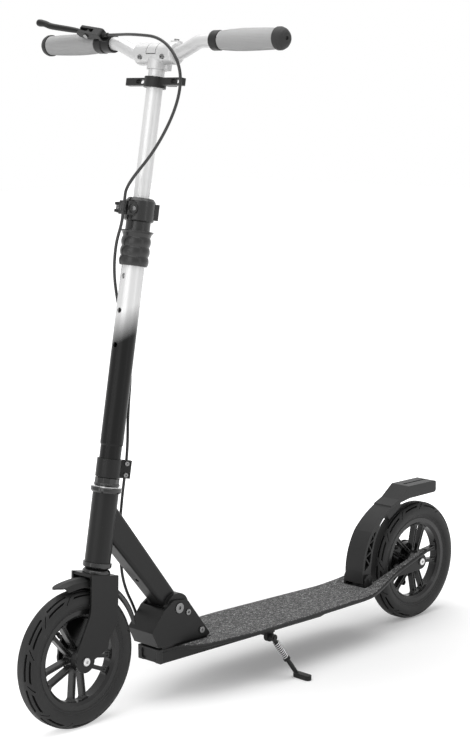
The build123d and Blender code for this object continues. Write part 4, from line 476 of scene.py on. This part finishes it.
def turn_outline(bm, geom, steps, centre=(0, 0, 0), axis=LEFT):
    """Turns an outline once round an axis and closes the seam."""
    bmesh.ops.spin(
        bm, geom=geom, cent=centre, axis=axis, angle=FULL_TURN, steps=steps, use_merge=True
    )
    bmesh.ops.remove_doubles(bm, verts=bm.verts, dist=MERGE)


def arc_points(first, middle, last, steps):
    """Points on the circle through three points, from the first to the last."""
    ax, ay = first
    bx, by = middle
    cx, cy = last
    d = 2 * (ax * (by - cy) + bx * (cy - ay) + cx * (ay - by))
    a2, b2, c2 = ax * ax + ay * ay, bx * bx + by * by, cx * cx + cy * cy
    ox = (a2 * (by - cy) + b2 * (cy - ay) + c2 * (ay - by)) / d
    oy = (a2 * (cx - bx) + b2 * (ax - cx) + c2 * (bx - ax)) / d
    radius = math.hypot(ax - ox, ay - oy)
    start = math.atan2(ay - oy, ax - ox)
    turn = math.atan2(cy - oy, cx - ox) - start
    turn = (turn + math.pi) % FULL_TURN - math.pi
    angles = [start + turn * i / steps for i in range(steps + 1)]
    return [(ox + radius * math.cos(angle), oy + radius * math.sin(angle)) for angle in angles]


# Tyre outline in millimetres: points under the tread as (depth, half width), then the bead and
# the air space as (radius, half width)
CROWN_HALF = 3.2
CROWN_POINTS = 2
CROWN_EDGE = (0, 6.5)
SHOULDER_MIDDLE = (3.2, 12.4)
SHOULDER_END = (10, 16.8)
SIDE_WIDEST = (16.5, 18.0)
SIDE_END = (23, 16.8)
BEAD_LINE = [
    (90.6, 16.1), (90.2, 15.1), (87.4, 13.9), (87.0, 13.0), (84.05, 12.5), (84.05, 8.1), (90.4, 8.1),
]
AIR_EDGE = (91.0, 10.4)
AIR_TOP = (3.2, 0.0)
SHOULDER_STEPS = 16
SIDE_STEPS = 10
AIR_STEPS = 24

# Tread: each period has two dashes and a slash, as spans of the shoulder's rings and of columns
TREAD_PERIODS = 12
TREAD_COLUMNS = 20
TYRE_STEPS = TREAD_PERIODS * TREAD_COLUMNS
OUTER_DASH_RINGS = (1, 5)
OUTER_DASH_COLUMNS = (3, 18)
INNER_DASH_RINGS = (10, 14)
INNER_DASH_COLUMNS = (4, 17)
SLASH_RINGS = (6, 18)
SLASH_COLUMNS = (0, 1)
SLASH_TURN = math.radians(8.0)
GROOVE_DEPTH = 2.2 * MM
GROOVE_WALL = 0.35 * MM


def tyre_outline(radius):
    """Half outline from the middle of the crown round to the top of the air space."""

    def under(place):
        depth, half = place
        return radius - depth, half

    low_edge = (AIR_EDGE[0], -AIR_EDGE[1])
    crown = [(radius, 0.0), (radius, CROWN_HALF)]
    shoulder = arc_points(
        under(CROWN_EDGE), under(SHOULDER_MIDDLE), under(SHOULDER_END), SHOULDER_STEPS
    )
    side = arc_points(under(SHOULDER_END), under(SIDE_WIDEST), under(SIDE_END), SIDE_STEPS)
    air = arc_points(AIR_EDGE, under(AIR_TOP), low_edge, AIR_STEPS)[:AIR_STEPS // 2 + 1]
    return crown + shoulder + side[1:] + BEAD_LINE + air


def slash_share(ring):
    """How far along the slash a ring of the shoulder lies, from 0 to 1."""
    low, high = SLASH_RINGS
    return min(max((ring - low) / (high - low), 0.0), 1.0)


def in_tread(face, ring):
    """True where a face lies in one of the two dashes or the slash of its period."""
    rings = [v[ring] - CROWN_POINTS for v in face.verts]
    low, high = min(rings), max(rings)
    middle = face.calc_center_median()
    twist = SLASH_TURN * slash_share(low + 0.5)
    angle = (math.atan2(middle.x, middle.z) - twist) % FULL_TURN
    column = int(angle / FULL_TURN * TYRE_STEPS) % TREAD_COLUMNS
    spans = (
        (OUTER_DASH_RINGS, OUTER_DASH_COLUMNS),
        (INNER_DASH_RINGS, INNER_DASH_COLUMNS),
        (SLASH_RINGS, SLASH_COLUMNS),
    )
    return any(
        rows[0] <= low and high <= rows[1] and columns[0] <= column < columns[1]
        for rows, columns in spans
    )


def tyre(name, node, body, first_angle):
    """Tyre turned as rings, twisted along the slashes, mirrored and cut with the tread."""
    centre = node_centre(node)
    outline = tyre_outline((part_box(node)[1].z - centre.z) / MM)
    bm = bmesh.new()
    ring = bm.verts.layers.int.new("ring")
    groove = bm.faces.layers.float.new("groove")
    previous = None
    for number, (r, y) in enumerate(outline):
        vert = bm.verts.new((0.0, y * MM, r * MM))
        vert[ring] = number
        if previous:
            bm.edges.new((previous, vert))
        previous = vert
    turn_outline(bm, bm.verts[:] + bm.edges[:], TYRE_STEPS)
    for number in range(SLASH_RINGS[0] + CROWN_POINTS, len(outline)):
        twist = Matrix.Rotation(SLASH_TURN * slash_share(number - CROWN_POINTS), 3, "Y")
        verts = [v for v in bm.verts if v[ring] == number]
        bmesh.ops.rotate(bm, verts=verts, cent=(0, 0, 0), matrix=twist)
    geom = bm.verts[:] + bm.edges[:] + bm.faces[:]
    bmesh.ops.mirror(bm, geom=geom, merge_dist=MERGE, axis="Y")
    bmesh.ops.recalc_face_normals(bm, faces=bm.faces)
    cut = [face for face in bm.faces if in_tread(face, ring)]
    bmesh.ops.inset_region(
        bm, faces=cut, thickness=GROOVE_WALL, depth=-GROOVE_DEPTH, use_even_offset=True
    )
    # The groove faces are marked for the painted shade in the tyre's material
    for face in cut:
        face[groove] = 1.0
    start = Matrix.Rotation(first_angle, 3, "Y")
    bmesh.ops.rotate(bm, verts=bm.verts, cent=(0, 0, 0), matrix=start)
    bmesh.ops.translate(bm, verts=bm.verts, vec=centre)
    add_piece(name, bm, body, "black_rubber", node, sharp=TREAD_SHARP)


tyre("front_tyre_tread", "front_tyre", "front_wheel", math.radians(8.0))
tyre("rear_tyre_tread", "rear_tyre", "rear_wheel", math.radians(20.0))

# Grips: barrel form, pressed all over with small square dimples
GRIP_RINGS = 50
GRIP_SIDES = 46
GRIP_BORE = 11.2 * MM
GRIP_R = 17.6 * MM
GRIP_MARGIN = 2 * MM
GRIP_FULLEST = 0.45
GRIP_DROP_INNER = 2.6 * MM
GRIP_DROP_OUTER = 1.6 * MM
GRIP_LIP = ((1.6 * MM, 0.0), (0.5 * MM, 1.2 * MM))
GRIP_END = 1 * MM
DIMPLE_RIM = 0.4 * MM
DIMPLE_DEPTH = 0.4 * MM


def grip(name, node):
    """Grip of its node's length, fullest a little inboard of its middle."""
    low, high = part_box(node)
    centre = node_centre(node)
    way = 1 if centre.y > 0 else -1
    inner, outer = sorted((abs(low.y), abs(high.y)))
    first, last = inner + GRIP_MARGIN, outer - GRIP_MARGIN

    def bulge(y):
        """Radius of the grip's form at a distance from the scooter's middle."""
        t = (y - inner) / (outer - inner)
        if t < GRIP_FULLEST:
            return GRIP_R - GRIP_DROP_INNER * ((GRIP_FULLEST - t) / GRIP_FULLEST) ** 2
        return GRIP_R - GRIP_DROP_OUTER * ((t - GRIP_FULLEST) / (1 - GRIP_FULLEST)) ** 2

    outline = [(GRIP_BORE, inner)]
    outline += [(bulge(inner) - depth, inner + rise) for depth, rise in GRIP_LIP]
    for ring in range(GRIP_RINGS + 1):
        y = first + (outer - inner - 2 * GRIP_MARGIN) * ring / GRIP_RINGS
        outline.append((bulge(y), y))
    outline += [(bulge(outer), outer - GRIP_END), (bulge(outer), outer), (GRIP_BORE, outer)]
    bm = bmesh.new()
    chain = [bm.verts.new((r, way * y, 0.0)) for r, y in outline]
    for pair in zip(chain, chain[1:] + chain[:1]):
        bm.edges.new(pair)
    turn_outline(bm, bm.verts[:] + bm.edges[:], GRIP_SIDES)
    bmesh.ops.recalc_face_normals(bm, faces=bm.faces)

    def outside(vert):
        """True on the grip's round face, between its two margins."""
        r = math.hypot(vert.co.x, vert.co.z)
        return first - MERGE < abs(vert.co.y) < last + MERGE and r > 1.2 * GRIP_BORE

    pressed = [face for face in bm.faces if all(outside(v) for v in face.verts)]
    bmesh.ops.inset_individual(bm, faces=pressed, thickness=DIMPLE_RIM, depth=-DIMPLE_DEPTH)
    bmesh.ops.translate(bm, verts=bm.verts, vec=(centre.x, 0.0, centre.z))
    add_piece(name, bm, "tbar", "grip_grey", node)


grip("left_grip_dimpled", "left_grip")
grip("right_grip_dimpled", "right_grip")

# Brake cable: each held run follows its route's points on one smooth spline
CABLE_R = 2.5 * MM
WIRE_R = 0.8 * MM
SPLINE_ORDER = 3
SPLINE_STEPS = 10
LUG = (-31.1, 6.7)
EYE = (40.4, 5.0)
FOLD_START = (309, -23.5, 305)
DECK_START = (258, -38, 136)
UPPER_ROUTE = [
    steer_point(*place)
    for place in (
        (19.5, -106.9, 1131.7), (19.5, -84.9, 1131.7), (40, -24, 1127), (38, 46, 1121),
        (24, 82, 1078), (22, 84, 1020), (28, 52, 945), (*EYE, 884), (*EYE, 858), (*EYE, 838),
        (*EYE, 822), (31, -14, 790), (18, -25, 745), (2, -27, 702), (-16, -20, 650),
        (-26, -3, 595), (-26.5, 1, 520), (*LUG, 456), (*LUG, 427.6),
    )
]
NECK_ROUTE = [
    steer_point(*LUG, 427.4), steer_point(*LUG, 404.5), steer_point(-46, -9, 370),
    *mm_points(FOLD_START),
]
FOLD_ROUTE = mm_points(
    FOLD_START, (308, -24.5, 246), (296, -27, 200), (266, -37, 158), DECK_START
)
DECK_ROUTE = mm_points(
    DECK_START, (240, -40.3, 86), (190, -33.4, 77.7), (127, -34.8, 77), (64, -33.4, 76.3),
    (1, -34.8, 75.6), (-62, -33.4, 74.9), (-125, -34.8, 74.2), (-188, -33.4, 73.6),
    (-262, -33, 70), (-335, -30, 65), (-378, -28, 62), (-401.4, -28, 62),
)
WIRE_ROUTE = mm_points((-400, -28, 62), (-417, -28, 62), (-434, -28, 62))


def route_mesh(name, points, radius, sides=5, swell=()):
    """Round tube on the smooth spline along a route; swell scales its radius point by point."""
    curve = bpy.data.curves.new(name + "_route", "CURVE")
    curve.dimensions = "3D"
    spline = curve.splines.new("NURBS")
    spline.points.add(len(points) - 1)
    for knot, place in zip(spline.points, points):
        knot.co = (*place, 1.0)
    for knot, factor in zip(spline.points, swell):
        knot.radius = factor
    spline.order_u = SPLINE_ORDER
    spline.use_endpoint_u = True
    spline.resolution_u = SPLINE_STEPS
    curve.bevel_depth = radius
    curve.bevel_resolution = sides
    curve.use_fill_caps = True
    route = bpy.data.objects.new(name + "_route", curve)
    mesh = bpy.data.meshes.new_from_object(route)
    bpy.data.objects.remove(route)
    bpy.data.curves.remove(curve)
    bm = bmesh.new()
    bm.from_mesh(mesh)
    bpy.data.meshes.remove(mesh)
    bmesh.ops.remove_doubles(bm, verts=bm.verts, dist=MERGE)
    return bm


def cable_run(
    name, points, bodies, start=None, end=None, radius=CABLE_R, slot="cable_black", replaced=()
):
    """Held run of cable on one body, or a run between two bodies that is left unattached where it
    lies.
    """
    bm = route_mesh(name, points, radius)
    body = bodies[0] if len(bodies) == 1 else None
    run = add_piece(name, bm, body, slot, *replaced, sharp=ROUND_SHARP)
    if len(bodies) == 2:
        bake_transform(run)


cable_run(
    "cable_upper_run", UPPER_ROUTE, ("tbar", "steering"),
    steer_point(0, 0, 1105), steer_point(0, 0, 890), replaced=["brake_cable_upper"],
)
cable_run(
    "cable_neck_run", NECK_ROUTE, ("steering", "front_frame"),
    steer_point(0, 0, 412), steer_point(0, 0, 352), replaced=["brake_cable_lower"],
)
cable_run("cable_fold_run", FOLD_ROUTE, ("front_frame", "deck"), *mm_points((0, 0, 250), (0, 0, 150)))
cable_run("cable_deck_run", DECK_ROUTE, ("deck",), replaced=["brake_cable_deck"])
cable_run(
    "cable_inner_wire", WIRE_ROUTE, ("deck", "brake_arm"),
    *mm_points((-402, 0, 0), (-430, 0, 0)), radius=WIRE_R, slot="steel",
)

# Kickstand spring: nine turns round the leg between its shoulder and its collar
SPRING_TURNS = 9
SPRING_STEPS = 24
SPRING_R = 5.3 * MM
SPRING_WIRE = 0.9 * MM
SPRING_SPAN = (10.4 * MM, 45.1 * MM)
STAND_PIVOT, STAND_FOOT = mm_points((41, 73, 78), (-2, 93, 4.5))


def stand_spring():
    """Wound wire round the kickstand's leg."""
    along = (STAND_FOOT - STAND_PIVOT).normalized()
    across = along.cross(LEFT).normalized()
    beside = along.cross(across)
    low, high = SPRING_SPAN
    steps = SPRING_TURNS * SPRING_STEPS
    points = []
    for step in range(steps + 1):
        angle = FULL_TURN * step / SPRING_STEPS
        rise = low + (high - low) * step / steps
        ring = math.cos(angle) * across + math.sin(angle) * beside
        points.append(STAND_PIVOT + SPRING_R * ring + rise * along)
    bm = route_mesh("stand_spring_coils", points, SPRING_WIRE, sides=3)
    add_piece("stand_spring_coils", bm, "kickstand", "steel", "stand_spring", sharp=ROUND_SHARP)


stand_spring()

# Brake blade: a slim bar with a ball end, on an eye round its pin. In millimetres, the bar's points
# are (out from the pin, along the bar, radius), with the ball's counted back from the grip's end,
# and the eye's are (radius, along the pin)
LEVER_OUT = Vector((0.6984, 0.0, 0.7157))
LEVER_AXIS = Vector((0.7157, 0.0, -0.6984))
LEVER_PIN = MM * Vector((243.948, -150.0, 1120.633))
BLADE_LINE = (
    (1.0, 4.5, 3.0), (2.5, 13.0, 3.1), (5.5, 25.0, 4.4), (9.0, 42.0, 5.0), (13.0, 62.0, 5.1),
    (17.5, 84.0, 5.3),
)
BALL_LINE = (
    (23.0, 25.0, 5.5), (24.3, 19.5, 5.6), (25.0, 16.5, 6.2), (25.9, 11.5, 6.2), (26.5, 8.0, 5.2),
    (26.7, 7.0, 3.0),
)
EYE_PROFILE = (
    (2.6, -2.8), (3.0, -3.1), (4.5, -3.1), (4.9, -2.8), (4.9, 2.8), (4.5, 3.1), (3.0, 3.1), (2.6, 2.8),
)
EYE_SIDES = 40


def brake_blade():
    """Blade that reaches from its pin to the end of the right grip."""
    reach = (LEVER_PIN.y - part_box("right_grip")[0].y) / MM
    line = BLADE_LINE + tuple((out, reach - short, radius) for out, short, radius in BALL_LINE)
    points = [LEVER_PIN + MM * (out * LEVER_OUT - along * LEFT) for out, along, _ in line]
    bm = route_mesh("brake_blade_bar", points, MM, swell=[radius for *_, radius in line])
    ring = [bm.verts.new(LEVER_PIN + MM * (r * LEFT + a * LEVER_AXIS)) for r, a in EYE_PROFILE]
    rim = [bm.edges.new(pair) for pair in zip(ring, ring[1:] + ring[:1])]
    turn_outline(bm, ring + rim, EYE_SIDES, LEVER_PIN, LEVER_AXIS)
    add_piece("brake_blade_bar", bm, "brake_lever", "satin_black", "brake_blade")


brake_blade()

# Floor and surround: the floor's own light rises to white between two distances from its centre
FLOOR_SIZE = 12.0
FLOOR_GREY = 0.86
FLOOR_LIFT = 0.14
FLOOR_RISE = (0.08, 1.1)
FLOOR_CENTRE = (-0.15, 0.0, 0.0)
SURROUND_LIGHT = 0.36


def pale_floor():
    """White sheet that keeps the shadow and meets the white surround."""
    bm = bmesh.new()
    bmesh.ops.create_grid(bm, x_segments=1, y_segments=1, size=FLOOR_SIZE)
    mesh = bpy.data.meshes.new("floor")
    bm.to_mesh(mesh)
    bm.free()
    floor = bpy.data.objects.new("floor", mesh)
    scene.collection.objects.link(floor)
    material, tree, shader = new_material("white_floor")
    tree.nodes.remove(shader)
    sheet = add_node(tree, "BsdfDiffuse")
    sheet.inputs["Color"].default_value = (*grey(FLOOR_GREY), 1.0)
    glow = add_node(tree, "Emission")
    path = add_node(tree, "LightPath")
    seen = add_node(tree, "Math", operation="MAXIMUM")
    coords = add_node(tree, "TexCoord")
    away = add_node(tree, "VectorMath", operation="DISTANCE")
    away.inputs[1].default_value = FLOOR_CENTRE
    lift = add_node(tree, "MapRange", interpolation_type="SMOOTHSTEP")
    near, far = FLOOR_RISE
    set_inputs(lift, {"From Min": near, "From Max": far, "To Min": FLOOR_LIFT, "To Max": 1.0})
    strength = add_node(tree, "Math", operation="MULTIPLY")
    both = add_node(tree, "AddShader")
    link = tree.links.new
    link(path.outputs["Is Camera Ray"], seen.inputs[0])
    link(path.outputs["Is Glossy Ray"], seen.inputs[1])
    link(coords.outputs["Object"], away.inputs[0])
    link(away.outputs["Value"], lift.inputs["Value"])
    link(lift.outputs["Result"], strength.inputs[0])
    link(seen.outputs["Value"], strength.inputs[1])
    link(strength.outputs["Value"], glow.inputs["Strength"])
    link(sheet.outputs["BSDF"], both.inputs[0])
    link(glow.outputs["Emission"], both.inputs[1])
    link(both.outputs["Shader"], tree.nodes["Material Output"].inputs["Surface"])
    mesh.materials.append(material)


def white_surround():
    """World that is white to the eye and in reflections, and gives an even grey light."""
    world = bpy.data.worlds.new("studio")
    scene.world = world
    world.use_nodes = True
    tree = world.node_tree
    back = tree.nodes["Background"]
    back.inputs["Color"].default_value = (*grey(1.0), 1.0)
    path = add_node(tree, "LightPath")
    glossy = add_node(tree, "Math", operation="MAXIMUM")
    seen = add_node(tree, "Math", operation="MAXIMUM")
    level = add_node(tree, "MapRange")
    set_inputs(level, {"To Min": SURROUND_LIGHT, "To Max": 1.0})
    link = tree.links.new
    link(path.outputs["Is Glossy Ray"], glossy.inputs[0])
    link(path.outputs["Is Transmission Ray"], glossy.inputs[1])
    link(path.outputs["Is Camera Ray"], seen.inputs[0])
    link(glossy.outputs["Value"], seen.inputs[1])
    link(seen.outputs["Value"], level.inputs["Value"])
    link(level.outputs["Result"], back.inputs["Strength"])


pale_floor()
white_surround()

# Lamps: name, place and target in metres, width and height, and power in watts
MIDDLE = (0.1, 0.0, 0.5)
LAMPS = (
    ("overhead_box", (0.1, 0.1, 3.0), (0.0, 0.0, 0.3), (2.8, 2.8), 60.0),
    ("main_box", (2.5, 0.75, 1.5), MIDDLE, (1.0, 2.2), 11.0),
    ("left_strip", (2.7, -0.15, 1.2), MIDDLE, (0.2, 2.0), 5.0),
    ("right_strip", (-0.14, 2.7, 1.2), MIDDLE, (0.2, 2.0), 4.0),
)


def softbox(name, place, target, size, power):
    """Rectangular lamp that faces its target."""
    light = bpy.data.lights.new(name, "AREA")
    light.shape = "RECTANGLE"
    light.size, light.size_y = size
    light.energy = power
    lamp = bpy.data.objects.new(name, light)
    lamp.location = place
    aim = Vector(target) - Vector(place)
    lamp.rotation_euler = aim.to_track_quat("-Z", "Y").to_euler()
    scene.collection.objects.link(lamp)


for lamp in LAMPS:
    softbox(*lamp)

# Camera at the photograph's place: 3.14 m from the scooter, 45 degrees to its left, 10 degrees up
CAMERA_PLACE = Vector((2.2870, 2.1942, 1.0372))
CAMERA_TARGET = Vector((0.1048, 0.0, 0.5000))
CAMERA_ROLL = math.radians(-0.56)
CAMERA_LENS = 87.86
CAMERA_SENSOR = 36.0
CAMERA_SHIFT = (0.0266, 0.0334)


def photo_camera():
    """Camera fitted to the photograph."""
    data = bpy.data.cameras.new("photo_camera")
    data.lens = CAMERA_LENS
    data.sensor_width = CAMERA_SENSOR
    data.shift_x, data.shift_y = CAMERA_SHIFT
    camera = bpy.data.objects.new("photo_camera", data)
    aim = (CAMERA_TARGET - CAMERA_PLACE).to_track_quat("-Z", "Y")
    roll = Matrix.Rotation(CAMERA_ROLL, 4, "Z")
    camera.matrix_world = Matrix.Translation(CAMERA_PLACE) @ aim.to_matrix().to_4x4() @ roll
    scene.collection.objects.link(camera)
    scene.camera = camera


photo_camera()

# The view layer brought up to date
bpy.context.view_layer.update()
